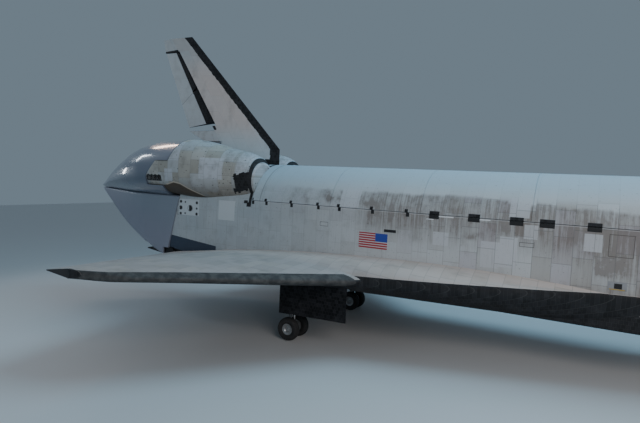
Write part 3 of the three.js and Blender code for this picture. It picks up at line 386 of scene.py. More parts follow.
def body_points(table, xo, angle, depth=0.0):
    """Points of a body at stations xo and angles up from the port side, drawn in by depth. Each
    half of a section is a superellipse: |y / half| ** n + |z / height| ** n = 1."""
    xo, angle = np.broadcast_arrays(xo, angle)
    half, bottom, wide, top, upper, lower = body_rows(table, xo)
    c, s = np.cos(angle), np.sin(angle)
    power = 2 / np.where(s >= 0, upper, lower)
    height = np.where(s >= 0, top - wide, wide - bottom)
    y = np.maximum(half - depth, LEAST_HALF) * signed_power(c, power)
    zo = wide + np.maximum(height - depth, LEAST_HALF) * signed_power(s, power)
    return station(xo, y, zo)


def body_tube(name, table, xo):
    """A body's closed skin. The lower half starts a hair past level, to read the lower squareness."""
    upper, lower = (np.linspace(0, np.pi, count, endpoint=False) for count in (56, 40))
    angle = np.concatenate([upper, np.pi + lower + 1e-9])
    return tube(name, body_points(table, np.asarray(xo)[:, None], angle[None, :]))


def reach_at(table, xo, zo):
    """Half width of a body at a station and a height."""
    xo, zo = np.broadcast_arrays(np.asarray(xo, dtype=float), np.asarray(zo, dtype=float))
    half, bottom, wide, top, upper, lower = body_rows(table, xo)
    above = zo >= wide
    share = np.clip(np.where(above, (zo - wide) / (top - wide), (wide - zo) / (wide - bottom)), 0, 1)
    power = np.where(above, upper, lower)
    return half * (1 - share**power) ** (1 / power)


def slab(name, outer, inner):
    """A closed plate between two grids of points that face each other."""
    rows, columns = outer.shape[:2]
    count = rows * columns
    top = grid_faces(rows, columns, False)
    index = np.arange(count).reshape(rows, columns)
    rim = np.concatenate([index[0], index[1:, -1], index[-1, -2::-1], index[-2:0:-1, 0]])
    after = np.roll(rim, -1)
    walls = np.stack([rim, after, after + count, rim + count], axis=-1)
    points = np.concatenate([outer.reshape(-1, 3), inner.reshape(-1, 3)])
    return new_object(name, turned_out(mesh_of(name, points, [top, top[:, ::-1] + count, walls])))


def facing_plate(name, side, xo, y, zo, proud, deep):
    """A plate over a grid of places on the body's side, from proud outside it to deep inside."""
    return slab(name, station(xo, side * (y + proud), zo), station(xo, side * (y - deep), zo))


def side_plate(name, side, xo, zo, proud, deep=0.5, table=None, steps=8):
    """A plate on the body's side between two stations and two heights, flat if it has no table."""
    xo, zo = np.meshgrid(np.linspace(*xo, steps), np.linspace(*zo, steps), indexing="ij")
    y = BODY_HALF if table is None else reach_at(table, xo, zo)
    return facing_plate(name, side, xo, y, zo, proud, deep)


def endless(name, points):
    """A skin over a grid of points that closes on itself both ways."""
    rows, columns = points.shape[:2]
    faces = grid_faces(rows + 1, columns, True) % (rows * columns)
    return new_object(name, turned_out(mesh_of(name, points.reshape(-1, 3), [faces])))


def turned(name, profile, centre, sides=96):
    """A body turned about an axle along y: a closed profile of (radius, along) points in inches."""
    radius, along = np.asarray(profile, dtype=float).T
    angle = round_angles(sides)[:, None]
    xo, y, zo = centre
    return endless(name, station(xo + radius * np.cos(angle), y + along, zo + radius * np.sin(angle)))


def bar(name, start, end, radius, sides=32):
    """A round bar between two stations."""
    return rod(name, station(*start), station(*end), radius * INCH, sides)


def pin(name, xo, y, zo, half, radius, sides=32):
    """A round bar across the body, with half its length on each side of a place."""
    return bar(name, (xo, y - half, zo), (xo, y + half, zo), radius, sides)


def post(name, xo, y, ends, radius, sides=48):
    """A round bar that stands upright between two heights."""
    return bar(name, (xo, y, ends[0]), (xo, y, ends[1]), radius, sides)


def lug(name, root, eye, y, half, radius):
    """A flat arm from a root station to an eye about (xo, zo), between two y, with its bore. Its outline
    is the eye's arc closed by two level lines half a height above and below."""
    turn = math.pi - math.asin(half / radius)
    angle = np.linspace(-turn, turn, 41)
    arc = np.stack([eye[0] + radius * np.cos(angle), eye[1] + radius * np.sin(angle)], axis=-1)
    arm = side_prism(name, [*arc, (root, eye[1] + half), (root, eye[1] - half)], *y)
    return carve(arm, bar("bore", (eye[0], y[0] - 1, eye[1]), (eye[0], y[1] + 1, eye[1]), BORE_RADIUS))


def rounded(piece, width, segments=2, angle=40):
    """Rounds a piece's edges by a bevel of a width in inches."""
    bevel = piece.modifiers.new("rounded", "BEVEL")
    bevel.width = width * INCH
    bevel.segments = segments
    bevel.limit_method = "ANGLE"
    bevel.angle_limit = math.radians(angle)
    return piece


# Wing


LEADING_HEIGHTS = np.array([
    (105, 300), (176.7, 300), (190, 300.5), (215, 301.5), (255, 303), (312.5, 305.5), (380, 308.5),
    (440, 310.5), (460, 310.5), (468.3, 309.8),
])
HINGE_XO = 1387.0
ELEVON_SPLIT = 312.5
EDGE_LIFTS = np.array([
    (105, 23), (112, 23), (120, 22.8), (129, 17.8), (140, 12), (150, 7.5), (160, 4), (176.7, 0), (468.3, 0),
])
EDGE_DEPTHS = np.array([(440, 24), (453, 20), (465.5, 14)])
# The leading edge's shells reach between these y, and the wing's own skin covers the rest
EDGE_SPAN = (184.0, 465.5)
ROOT_SPAN = (
    BODY_HALF + REST_GAP, 108, 112, 116, 120, 124.5, 129, 134, 140, 150, 160, 168, 176.7, 180, EDGE_SPAN[0],
)
TIP_SPAN = (EDGE_SPAN[1], 466.2, 467, 467.7, 468.3)


# The leading edge's station at the glove's foot and, along the 45 degree part, less its y
GLOVE_FRONT = 560
WING_FRONT = 836
GLOVE_SLOPE = math.tan(math.radians(9))


def leading_edge(y):
    """The glove's 9 degree line, the wing's 45 degree line, and a tip drawn aft by a power of y."""
    glove = GLOVE_FRONT + (y - 105) / GLOVE_SLOPE
    return np.minimum(glove, WING_FRONT + y + 0.18 * np.maximum(y - 440, 0) ** 1.75)


def trailing_edge(y):
    """A straight line, swept forwards by 10 degrees."""
    return 1525.2 - y * math.tan(math.radians(10.056))


def hinge_at(y):
    """Height and radius of the elevons' hinge."""
    share = (y - 120) / 347
    return 292.5 + 15.5 * share, 14.6 - 7 * share


def wing_surface(y, xo, up):
    """Height of the wing's upper (up 1) or lower (up -1) skin at a place of its plan.

    The thickness follows 2.319 u**0.5 (1 - u)**0.75 over the chord's share u, scaled to close on
    the elevon's round nose, and the mean line is bowed by u (1 - u) to pass the hinge. Near the body
    the edge is drawn up by a lift that fades as (1 - distance / reach)**2."""
    front = leading_edge(y)
    chord = trailing_edge(y) - front
    hinge, radius = hinge_at(y)
    front_zo = np.interp(y, *LEADING_HEIGHTS.T)
    end_zo = 287 + (y - 105) * 18 / 363

    def shape(u):
        return 2.319 * np.sqrt(u) * (1 - u) ** 0.75

    at_hinge = (HINGE_XO - front) / chord
    thick = (2 * (radius + RUN_GAP) + 0.3) / shape(at_hinge)
    bow = (hinge - front_zo - (end_zo - front_zo) * at_hinge) / (at_hinge * (1 - at_hinge))
    u = np.clip((xo - front) / chord, 0, 1)
    lift = np.interp(y, *EDGE_LIFTS.T) * np.clip(1 - (xo - front) / (100 if up > 0 else 210), 0, 1) ** 2
    return front_zo + (end_zo - front_zo) * u + bow * u * (1 - u) + up * thick * shape(u) / 2 + lift


def wing_part(name, side, span, depth, steps=44):
    """A closed part of the wing: its section from the elevons' cove forward to depth behind the
    leading edge, carried along the span."""
    y = np.asarray(span, dtype=float)[:, None]
    hinge, radius = hinge_at(y)
    cove = radius + RUN_GAP
    up, down = math.radians(36), math.radians(21)
    share = np.linspace(0, 1, steps)[None, :]
    front = leading_edge(y) + depth
    upper = front + (HINGE_XO - cove * math.sin(up) - front) * (1 - np.sin(share * np.pi / 2))
    lower = front + (HINGE_XO - cove * math.sin(down) - front) * (1 - np.cos(share * np.pi / 2))
    angle = np.linspace(1.5 * math.pi - down, 0.5 * math.pi + up, 16)[None, :]
    skip = 0 if np.any(depth) else 1
    xo = np.concatenate([upper, lower[:, skip:], HINGE_XO + cove * np.cos(angle)], axis=1)
    zo = np.concatenate([
        wing_surface(y, upper, 1), wing_surface(y, lower, -1)[:, skip:], hinge + cove * np.sin(angle),
    ], axis=1)
    return tube(name, station(xo, side * y, zo))


def edge_panels(name, side, count=22, gap=0.16):
    """The leading edge's separate shells, each a stretch of the wing's nose with a gap beside it."""
    panels = []
    ends = np.linspace(*EDGE_SPAN, count + 1)
    share = np.linspace(0, 1, 18)[None, :]
    for start, end in zip(ends[:-1], ends[1:]):
        y = np.linspace(start + gap, end - gap, 4)[:, None]
        front = leading_edge(y)
        xo = front + (np.interp(y, *EDGE_DEPTHS.T) - 0.1) * share**2
        upper = wing_surface(y, xo, 1)
        lower = wing_surface(y, xo, -1)
        ring = np.concatenate([xo[:, ::-1], xo[:, 1:]], axis=1)
        zo = np.concatenate([upper[:, ::-1], lower[:, 1:]], axis=1)
        panels.append(tube("shell", station(ring, side * y, zo)))
    return joined(name, panels)


def elevon(name, side, start, end):
    """A wedge with a round nose about the hinge, and the stub of its pin at the elevons' split."""
    y = np.array([start, end])[:, None]
    hinge, radius = hinge_at(y)
    angle = np.linspace(0.5 * np.pi, 1.5 * np.pi, 28)[None, :]
    tail = trailing_edge(y)
    xo = np.concatenate([HINGE_XO + radius * np.cos(angle), tail, tail], axis=1)
    zo = np.concatenate([hinge + radius * np.sin(angle), hinge - 2.8, hinge - 1.2], axis=1)
    near, out = (end, -1) if abs(end - ELEVON_SPLIT) < abs(start - ELEVON_SPLIT) else (start, 1)
    middle = hinge_at(ELEVON_SPLIT)[0]
    places = [(HINGE_XO, side * v, middle) for v in (ELEVON_SPLIT + out * 0.2, near + out * 5)]
    return joined(name, [tube("blade", station(xo, side * y, zo)), bar("stub", *places, 2.0)])


# Fin and rudder

RUDDER_FOOT = 588.0
FIN_FOOT = 590.0
RUDDER_HEAD = 779.1
HEAD_GAP = 2.4
FIN_TIP = 815.7
# The leading edge rises at 45 degrees from its station at the roof, and the chord shrinks with height
FIN_FRONT = 1277.9
FIN_CHORD = 268.5
FIN_TAPER = 0.50687
HINGE_SHARE = 0.6
FIN_LEAN = math.atan(1 - HINGE_SHARE * FIN_TAPER)
# Cosine and sine of the lean, to four places, for seams square to the hinge
LEAN_COS = 0.8211
LEAN_SIN = 0.5707
# Where the fin and its housing stand on the tail cone, and the bore for the hinge's round bars
CONE_TOP = 552.024
BORE_RADIUS = 2.05
REAR_SHARE = 0.62
RUDDER_SPLIT = 684.0


def fin_edge(zo):
    """Station of the fin's leading edge."""
    return FIN_FRONT + (zo - ROOF)


def fin_chord(zo):
    return FIN_CHORD - FIN_TAPER * (zo - ROOF)


def rudder_hinge(zo):
    """Station of the rudder's hinge line."""
    return fin_edge(zo) + HINGE_SHARE * fin_chord(zo)


def fin_half(zo):
    """Half thickness at the hinge: a wedge of 5 degrees to each side from the leading edge."""
    return HINGE_SHARE * fin_chord(zo) * math.tan(math.radians(5))


def rudder_point(zo, aft, y):
    """zo of the point's place on the hinge line, distance aft square to the hinge, and y."""
    return station(rudder_hinge(zo) + aft * math.cos(FIN_LEAN), y, zo - aft * math.sin(FIN_LEAN))


def rudder_reach(zo):
    """Distance from the hinge to the rudder's trailing edge."""
    return 218.4 - 0.223 * zo


def fairing_reach(zo):
    """Distance from the hinge to the fairing's rear."""
    return 68.9 - 0.076 * zo


def core_ring(zo, radius, reach, steps=28):
    """Round in front about the hinge, and ending aft in an arc round the hinge."""
    rear = math.asin(radius * REAR_SHARE / reach) * np.linspace(-1, 1, 9)
    front = np.linspace(0.5 * np.pi, 1.5 * np.pi, steps)
    aft = np.concatenate([reach * np.cos(rear), radius * np.cos(front)])
    y = np.concatenate([reach * np.sin(rear), radius * np.sin(front)])
    return rudder_point(zo, aft, y)


def hinge_bar(name, zo0, zo1, radius):
    return bar(name, (rudder_hinge(zo0), 0, zo0), (rudder_hinge(zo1), 0, zo1), radius)


def leaning_block(name, zo, aft, y):
    """A block square to the rudder's hinge line."""
    return slab(name, *(
        rudder_point(np.full((2, 2), level), np.array([aft, aft]), np.array([[v, v] for v in y]))
        for level in zo
    ))


def fin_blade(name):
    """The fin's level outline, a wedge with a round nose, at each height."""
    zo = np.concatenate([[ROOF + REST_GAP, 535.1], np.linspace(540, FIN_TIP, 24)])[:, None]
    front = np.maximum(fin_edge(zo), 1313)
    hinge = rudder_hinge(zo)
    t = np.linspace(0, 1, 40)[None, :] ** 2
    xo = front + (hinge + 6 - front) * t
    share = np.clip((xo - fin_edge(zo)) / (hinge - fin_edge(zo)), 0, 1.2)
    nose = np.sqrt(np.clip((xo - front) / 7, 0, 1))
    y = fin_half(zo) * (0.9 * share + 0.1 * np.sqrt(share)) * nose
    ring = np.concatenate([xo[:, ::-1], xo[:, 1:]], axis=1)
    return tube(name, station(ring, np.concatenate([y[:, ::-1], -y[:, 1:]], axis=1), zo))


# Shader maths


class Value:
    """A socket in a node tree. The operators on it add the Math nodes that they stand for."""

    def __init__(self, paint, socket):
        self.paint = paint
        self.socket = socket


def math_node(operation, swapped=False):
    """A method that adds the Math node of an operation on a value and what it is set against."""

    def method(value, *others):
        inputs = (*others, value) if swapped else (value, *others)
        return value.paint.node("ShaderNodeMath", {"operation": operation}, *inputs)

    return method


for word, operation in (
    ("__add__", "ADD"), ("__radd__", "ADD"), ("__sub__", "SUBTRACT"),
    ("__mul__", "MULTIPLY"), ("__rmul__", "MULTIPLY"), ("__truediv__", "DIVIDE"),
    ("__abs__", "ABSOLUTE"), ("__gt__", "GREATER_THAN"), ("__lt__", "LESS_THAN"),
    ("floor", "FLOOR"), ("fraction", "FRACT"), ("least", "MINIMUM"), ("most", "MAXIMUM"),
):
    setattr(Value, word, math_node(operation))
Value.__rsub__ = math_node("SUBTRACT", swapped=True)
Value.__rtruediv__ = math_node("DIVIDE", swapped=True)
Value.__neg__ = lambda value: value * -1.0


class Paint:
    """One material and the nodes that make it. Its stations xo, y and zo are in inches."""

    def __init__(self, name):
        self.material = bpy.data.materials.new(name)
        self.material.use_nodes = True
        self.tree = self.material.node_tree
        self.tree.nodes.clear()
        self.shader = self.tree.nodes.new("ShaderNodeBsdfPrincipled")
        output = self.tree.nodes.new("ShaderNodeOutputMaterial")
        self.tree.links.new(self.shader.outputs[0], output.inputs["Surface"])
        coordinates = self.tree.nodes.new("ShaderNodeTexCoord")
        place = self.node("ShaderNodeSeparateXYZ", {}, coordinates.outputs["Object"], every=True)
        x, y, z = place[0] - ORIGIN_X, place[1], place[2] - ORIGIN_Z
        turn = (math.cos(NOSE_DOWN) / INCH, math.sin(NOSE_DOWN) / INCH)
        self.xo = MAIN_XO - (x * turn[0] - z * turn[1])
        self.y = y / INCH
        self.zo = BELLY + x * turn[1] + z * turn[0]
        facing = self.node("ShaderNodeSeparateXYZ", {}, coordinates.outputs["Normal"], every=True)
        self.facing_side = abs(facing[1]) > abs(facing[2])
        self.up_facing = facing[2]
        self.aside = abs(self.y)

    def node(self, kind, settings, *inputs, every=False, **named):
        """Adds a node, sets it, and links or sets its sockets by place or by name."""
        made = self.tree.nodes.new(kind)
        for key, value in settings.items():
            setattr(made, key, value)
        pairs = list(enumerate(inputs)) + list(named.items())
        for key, value in pairs:
            socket = made.inputs[key.replace("_", " ") if isinstance(key, str) else key]
            if isinstance(value, Value):
                self.tree.links.new(value.socket, socket)
            elif isinstance(value, bpy.types.NodeSocket):
                self.tree.links.new(value, socket)
            else:
                socket.default_value = value
        if every:
            return [Value(self, socket) for socket in made.outputs]
        return Value(self, made.outputs[0])

    def step(self, value, low, high):
        """0 below low, 1 above high and a smooth rise between."""
        return self.node(
            "ShaderNodeMapRange", {"interpolation_type": "SMOOTHSTEP"}, value, float(low), float(high)
        )

    def within(self, value, low, high, soft=0.3):
        """1 between low and high, 0 outside."""
        return self.step(value, low - soft, low + soft) * (1 - self.step(value, high - soft, high + soft))

    def rectangle(self, u, v, centre, size, soft=0.3):
        return self.within(u, centre[0] - size[0] / 2, centre[0] + size[0] / 2, soft) * self.within(
            v, centre[1] - size[1] / 2, centre[1] + size[1] / 2, soft
        )

    def outline(self, u, v, centre, size, width=0.8):
        """The border of a rectangle, width wide."""
        inner = [s - 2 * width for s in size]
        return self.rectangle(u, v, centre, size, 0.25) - self.rectangle(u, v, centre, inner, 0.25)

    def along(self, value, points):
        """A height that runs straight between (value, height) points, as a sum of ramps."""
        total, height = 0.0, points[0][1]
        for (a, low), (b, high) in zip(points[:-1], points[1:]):
            ramp = self.node("ShaderNodeMapRange", {}, value, float(a), float(b), 0.0, float(high - low))
            total = ramp + total
        return total + height

    def vector(self, *parts):
        return self.node("ShaderNodeCombineXYZ", {}, *parts)

    def noise(self, size, stretch=(1, 1, 1), detail=3.0, rough=0.55, seed=0.0):
        """Noise over the stations, with cells of about the given size in inches."""
        parts = [
            part / (size * s) for part, s in zip((self.xo + seed * 37.0, self.y, self.zo), stretch)
        ]
        return self.node(
            "ShaderNodeTexNoise", {}, self.vector(*parts), Scale=1.0, Detail=detail, Roughness=rough
        )

    def chance(self, *parts):
        """A random number from 0 to 1 that is the same wherever its parts are."""
        return self.node("ShaderNodeTexWhiteNoise", {"noise_dimensions": "3D"}, self.vector(*parts))

    def mix(self, share, a, b):
        """Colour a where share is 0 and b where it is 1."""
        settings = {"data_type": "RGBA", "clamp_factor": True}
        made = self.tree.nodes.new("ShaderNodeMix")
        for key, value in settings.items():
            setattr(made, key, value)
        for index, value in ((0, share), (6, a), (7, b)):
            if isinstance(value, Value):
                self.tree.links.new(value.socket, made.inputs[index])
            elif index and len(value) == 3:
                made.inputs[index].default_value = (*value, 1.0)
            else:
                made.inputs[index].default_value = value
        return Value(self, made.outputs[2])

    def tiles(self, u, v, pitch, gap=0.12, shift=0.5):
        """A grid of tiles over u and v, rows shifted against each other: (gap mask, tile's chance)."""
        row = (v / pitch[1]).floor()
        along = u / pitch[0] + row * shift
        column = along.floor()
        near_u = (along.fraction() - 0.5)
        near_v = ((v / pitch[1]).fraction() - 0.5)
        edge_u = (0.5 - abs(near_u)) * pitch[0]
        edge_v = (0.5 - abs(near_v)) * pitch[1]
        line = 1 - self.step(edge_u.least(edge_v), gap * 0.4, gap)
        return line, self.chance(column, row, 0.0)

    def bump(self, height, strength=0.4, distance=0.01, normal=None):
        made = self.tree.nodes.new("ShaderNodeBump")
        made.inputs["Strength"].default_value = strength
        made.inputs["Distance"].default_value = distance
        self.tree.links.new(height.socket, made.inputs["Height"])
        if normal is not None:
            self.tree.links.new(normal.socket, made.inputs["Normal"])
        return Value(self, made.outputs[0])

    def finish(self, colour, roughness, normal=None, metallic=0.0, **rest):
        for key, value in (("Base Color", colour), ("Roughness", roughness), ("Metallic", metallic)):
            socket = self.shader.inputs[key]
            if isinstance(value, Value):
                self.tree.links.new(value.socket, socket)
            elif key == "Base Color" and len(value) == 3:
                socket.default_value = (*value, 1.0)
            else:
                socket.default_value = value
        if normal is not None:
            self.tree.links.new(normal.socket, self.shader.inputs["Normal"])
        for key, value in rest.items():
            self.shader.inputs[key.replace("_", " ")].default_value = value
        return self.material


# Finishes


def black_tile_look(paint, look, across):
    """Colour, roughness and height of 6 in black tiles with pale worn edges."""
    gap, tint = paint.tiles(paint.xo, across, (6.0, 6.0), 0.2)
    worn = paint.step(paint.noise(16, detail=6), 0.52, 0.72)
    colour = paint.mix(paint.step(tint, 0.2, 1.0) * 0.8, look.black, look.black_aged)
    colour = paint.mix(worn * 0.12, colour, (0.13, 0.13, 0.14))
    colour = paint.mix(gap * 0.25, colour, (0.12, 0.12, 0.12))
    return colour, 0.55 + tint * 0.25, (1 - gap) * 0.5 + tint * 0.3


def black_tiles(look, name="black tile", side_view=None):
    paint = Paint(name)
    across = paint.zo if side_view else paint.y + 1000.0
    colour, rough, height = black_tile_look(paint, look, across)
    shine = 0.12 if side_view else 0.4
    return paint.finish(colour, rough, paint.bump(height, 0.5, 0.004), Specular_IOR_Level=shine)


def girth(paint):
    """Inches round the round roof from the height of its centre, or straight down below it."""
    up = paint.zo - ROOF_CENTRE
    angle = paint.node("ShaderNodeMath", {"operation": "ARCTAN2"}, up, paint.aside)
    above = up > 0.0
    return above * angle * ROOF_RADIUS + (1 - above) * up


def patches(paint, u, v, size, seed=0.0):
    """Blankets in columns, each column cut at its own heights: (seam mask, two chances)."""
    column = (u / size[0]).floor()
    shift = paint.chance(column, 7.0 + seed, 0.0)
    row = (v / size[1] + shift).floor()
    edge_u = (0.5 - abs((u / size[0]).fraction() - 0.5)) * size[0]
    edge_v = (0.5 - abs((v / size[1] + shift).fraction() - 0.5)) * size[1]
    seam = 1 - paint.step(edge_u.least(edge_v), 0.15, 0.7)
    return seam, paint.chance(column, row, 1.0 + seed), paint.chance(column, row, 2.0 + seed)


# Patches of the side and the doors: middle and size in inches, along xo and along the girth
CLEAN_PATCHES = (
    ((1080, 50.5), (40, 37)), ((779, 53), (30, 35)), ((820, -29), (29, 43)), ((792, -22), (27, 50)),
    ((760, 14), (20, 23)), ((674, 6), (24, 27)), ((902, -11), (27, 23)), ((1374, 3.5), (43, 43)),
)
SMUDGES = (
    ((1113, 52), (34, 26), 0.9), ((1046, 50), (40, 26), 0.8), ((1198, 50), (62, 34), 0.35),
    ((1143, 56), (26, 26), 0.6), ((649, -24), (38, 36), 0.75), ((848, -2), (26, 12), 0.6),
    ((696, 55), (12, 10), 0.8), ((905, 58), (50, 14), 0.4),
)
# Black plates and hooks over the sill, and outlined covers below it
SILL_PLATES = ((907, 924), (839, 858), (772, 792.5), (727, 748.5), (664, 683))
SILL_HOOKS = (1305.5, 1271, 1209, 1146.7, 1100.7, 1032, 964.8)
OUTLINES = {
    "side": (((638, 395.5), (32, 33)), ((765, 384), (22, 7.2)), ((1131, 385.8), (18, 8.4))),
    "aft": (((1373.5, 394.5), (43, 43)), ((1481, 394.5), (64, 37))),
}


def blankets(look, name="side blanket", part="side"):
    """White blankets of the body: quilted patches of their own tints, a soot band along the sill,
    streaks that run down, and black tiles below the chine. The part is front, side, door or aft."""
    paint = Paint(name)
    v = girth(paint)
    seam, tint, hue = patches(paint, paint.xo, v, (28.0, 42.0))
    low = 1 - paint.step(v, 58, 76)
    worn = low * (1 - paint.step(paint.xo, 820, 1000) * 0.75)
    colour = paint.mix(paint.step(tint, 0.3, 1.0) * (0.15 + worn * 0.7), look.white, look.white_aged)
    colour = paint.mix(paint.step(hue, 0.7, 0.9) * (0.1 + worn * 0.5), colour, (0.47, 0.46, 0.5))
    streak = paint.noise(3.0, (1, 24, 24), 4, 0.65)
    wide_streak = paint.noise(9.0, (1, 9, 9), 4, 0.6, 2.0)
    mottle = paint.noise(20, (1, 1, 1.3), 6, 0.62)
    dirt = low * paint.step(mottle, 0.5, 0.75) * 0.25
    if part != "front":
        # Darker and bluer towards the tail: a painted shade where the light falls off aft
        painted_aft_shade = (0.25 + paint.noise(60, detail=2) * 0.5) * paint.step(paint.xo, 960, 1330)
        colour = paint.mix(painted_aft_shade, colour, (0.34, 0.42, 0.47))
    if part in ("side", "door"):
        column = (paint.xo / 21.0).floor()
        head = 66 + (paint.chance(column, 3.0, 0.0) - 0.5) * 6 - (1 - paint.step(paint.xo, 620, 900)) * 11
        band = (1 - paint.step(v - head, -4.0, 4.0)) * paint.step(v, -38, 24)
        band = band * (1 - paint.step(paint.xo, 1030, 1075) * 0.8) * (1 - paint.step(paint.xo, 1180, 1290))
        dirt = dirt + band * (0.2 + wide_streak * 0.9)
        dirt = dirt + band * paint.step(paint.noise(11, (1, 1, 2.2), 6, 0.65, 6.0), 0.42, 0.74) * 0.5
    if part in ("side", "front"):
        nose = (1 - paint.step(paint.xo, 610, 760)) * (1 - paint.step(v, 50, 64)) * paint.step(v, -105, -60)
        dirt = dirt + nose * (0.25 + mottle * 0.5)
    dirt = dirt * (0.5 + paint.step(streak, 0.3, 0.72) * 0.75)
    for centre, size, strength in SMUDGES:
        if part == ("door" if centre[1] > 29 else "side"):
            spot = paint.rectangle(paint.xo, v, centre, size, 5.0)
            dirt = dirt + spot * (paint.step(mottle, 0.38, 0.66) * strength)
    clean = 0.0
    for centre, size in CLEAN_PATCHES:
        if part == ("door" if centre[1] > 29 else "side"):
            clean = paint.rectangle(paint.xo, v, centre, size, 0.6) + clean
    if isinstance(clean, Value):
        dirt = dirt * (1 - clean * 0.9)
        colour = paint.mix(clean * 0.65, colour, (0.56, 0.58, 0.62))
    colour = paint.mix((dirt * (0.75 if part == "door" else 0.85)).least(0.68), colour, look.dust)
    if part in ("side", "door"):
        # A lighter band on each side of the sill: painted light that offsets the shadow in the gap at the
        # door's foot
        painted_light_sill_band = paint.within(v, SILL - ROOF_CENTRE - 1.0, SILL - ROOF_CENTRE + 2.0, 0.3)
        colour = paint.mix(painted_light_sill_band * 0.35, colour, (0.7, 0.72, 0.75))
    if part == "door":
        # Bluer towards the top of the doors: a painted cast of the cool light from above
        colour = paint.mix(paint.step(v, 58, 104) * 0.6, colour, (0.42, 0.55, 0.63))
    fine = paint.step(paint.noise(1.4, (1, 1, 30), 2), 0.55, 0.75) * low * 0.3
    colour = paint.mix(seam * (0.1 + worn * 0.45) + fine, colour, look.gap)
    speck = paint.step(paint.noise(2.6, detail=2, seed=4.0), 0.68, 0.74) * 0.5
    colour = paint.mix(speck, colour, (0.08, 0.08, 0.09))
    quilt = abs((paint.xo / 3.0).fraction() - 0.5).least(abs((v / 3.0).fraction() - 0.5))
    height = paint.step(quilt, 0.0, 0.12) * 0.4 + worn * (tint * 0.5 - seam * 0.5)
    height = height - seam * 0.2 + mottle * 0.4
    for centre, size in OUTLINES.get(part, ()):
        line = paint.outline(paint.xo, paint.zo, centre, size)
        colour = paint.mix(line * 0.8, colour, (0.06, 0.05, 0.04))
        height = height - line * 0.6
    dark, dark_rough, dark_height = black_tile_look(paint, look, plan_or_side(paint))
    if part == "front":
        chine = 283 + (1 - paint.step(paint.xo, 250, 500)) * 44 + paint.step(paint.xo, 500, 576) * 14
        marks = (paint.zo < chine) + paint.within(paint.xo, 393, 456, 0.5) * paint.step(paint.zo, 372, 374)
    elif part == "aft":
        aft_top = 313 + (paint.xo - 1399.6) * 0.1127
        aft_dark = (paint.xo > 1399.6) * (paint.zo < aft_top)
        # A black band where the pods meet the body: the dark gap there, with its shade painted in
        strip = paint.within(paint.xo, 1311, 1318, 0.6) * (paint.zo > 407.0)
        foot = paint.within(paint.xo, 1311, 1322, 0.6) * paint.within(paint.zo, 406.5, 415.5, 0.6)
        # Black tiles that do not face down are lightened to slate blue: a painted sheen of the cool light
        painted_blue_sheen = aft_dark * paint.step(paint.up_facing, -0.5, -0.3)
        dark = paint.mix(painted_blue_sheen * 0.75, dark, (0.06, 0.085, 0.13))
        marks = (paint.zo < 272.0) + aft_dark + strip + foot
    else:
        marks = 0.0
        for start, end in SILL_PLATES:
            marks = paint.within(paint.xo, start, end) + marks
        for xo in SILL_HOOKS:
            start = xo - 1.5 if part == "door" else xo - 4.5
            marks = paint.within(paint.xo, start, start + 6.0) + marks
        marks = marks * paint.within(paint.zo, 413.2, 426.4) * (paint.aside > 102.0)
        if part == "side":
            marks = marks + (paint.zo < 297.0)
        else:
            line = paint.within(paint.xo, 1286, 1288.5, 0.4)
            colour = paint.mix(line * 0.5, colour, look.gap)
    marks = marks.least(1.0)
    colour = paint.mix(marks, colour, dark)
    rough = 0.75 + marks * (dark_rough - 0.75)
    height = height + marks * (dark_height - height)
    return paint.finish(colour, rough, paint.bump(height, 0.55, 0.006), Specular_IOR_Level=0.3)


def plan_or_side(paint):
    """Tiles lie along the side view where the skin faces sideways, else along the plan view."""
    return paint.facing_side * paint.zo + (1 - paint.facing_side) * (paint.y + 1000.0)


def wing_tiles(look):
    """White tiles above, painted in darker brown-greys as painted shade and a painted warm cast, black
    below, with grey-black tiles behind the leading edge.
    """
    paint = Paint("wing tile")
    glove = GLOVE_FRONT + (paint.aside - 105) * (1 / GLOVE_SLOPE)
    behind = paint.xo - glove.least(paint.aside + WING_FRONT)
    seam, tint, hue = patches(paint, paint.xo, paint.aside, (24.0, 30.0), 3.0)
    mottle = paint.noise(26, (1.6, 1, 1), 6)
    streak = paint.noise(4, (18, 1, 1), 3)
    # The upper tiles' darker brown-grey tones, lighter at the root, stand for painted shade and a painted
    # warm cast over white tile
    colour = paint.mix(paint.step(tint, 0.3, 1) * 0.6, (0.45, 0.4, 0.38), (0.36, 0.32, 0.3))
    glove_share = 1 - paint.step(paint.aside, 140, 180)
    colour = paint.mix(glove_share * 0.8, colour, (0.66, 0.58, 0.53))
    colour = paint.mix(paint.step(hue, 0.7, 0.9) * 0.4, colour, (0.48, 0.42, 0.37))
    colour = paint.mix(paint.step(mottle, 0.48, 0.75) * (0.1 + streak * 0.25), colour, look.dust)
    colour = paint.mix(seam * 0.35, colour, look.gap)
    dark, dark_rough, dark_height = black_tile_look(paint, look, paint.y + 1000.0)
    edge = (behind < 16.0) * (paint.aside < 186.0)
    strip = edge * paint.step(0.75 - paint.up_facing, 0.0, 0.1)
    under = paint.step(-paint.up_facing, 0.02, 0.12).most(strip).most(paint.aside > 465.6)
    colour = paint.mix(under, colour, dark)
    rough = 0.7 + under * (dark_rough - 0.7)
    height = tint * 0.4 - seam * 0.6 + mottle * 0.3
    height = height + under * (dark_height - height)
    return paint.finish(colour, rough, paint.bump(height, 0.5, 0.005), Specular_IOR_Level=0.35)


# Heights of the line where a pod turns under, from its front to its rear
POD_CHINE = ((1424, 419), (1432, 423.6), (1477, 447), (1495, 450), (1516, 444.5), (1530, 443))


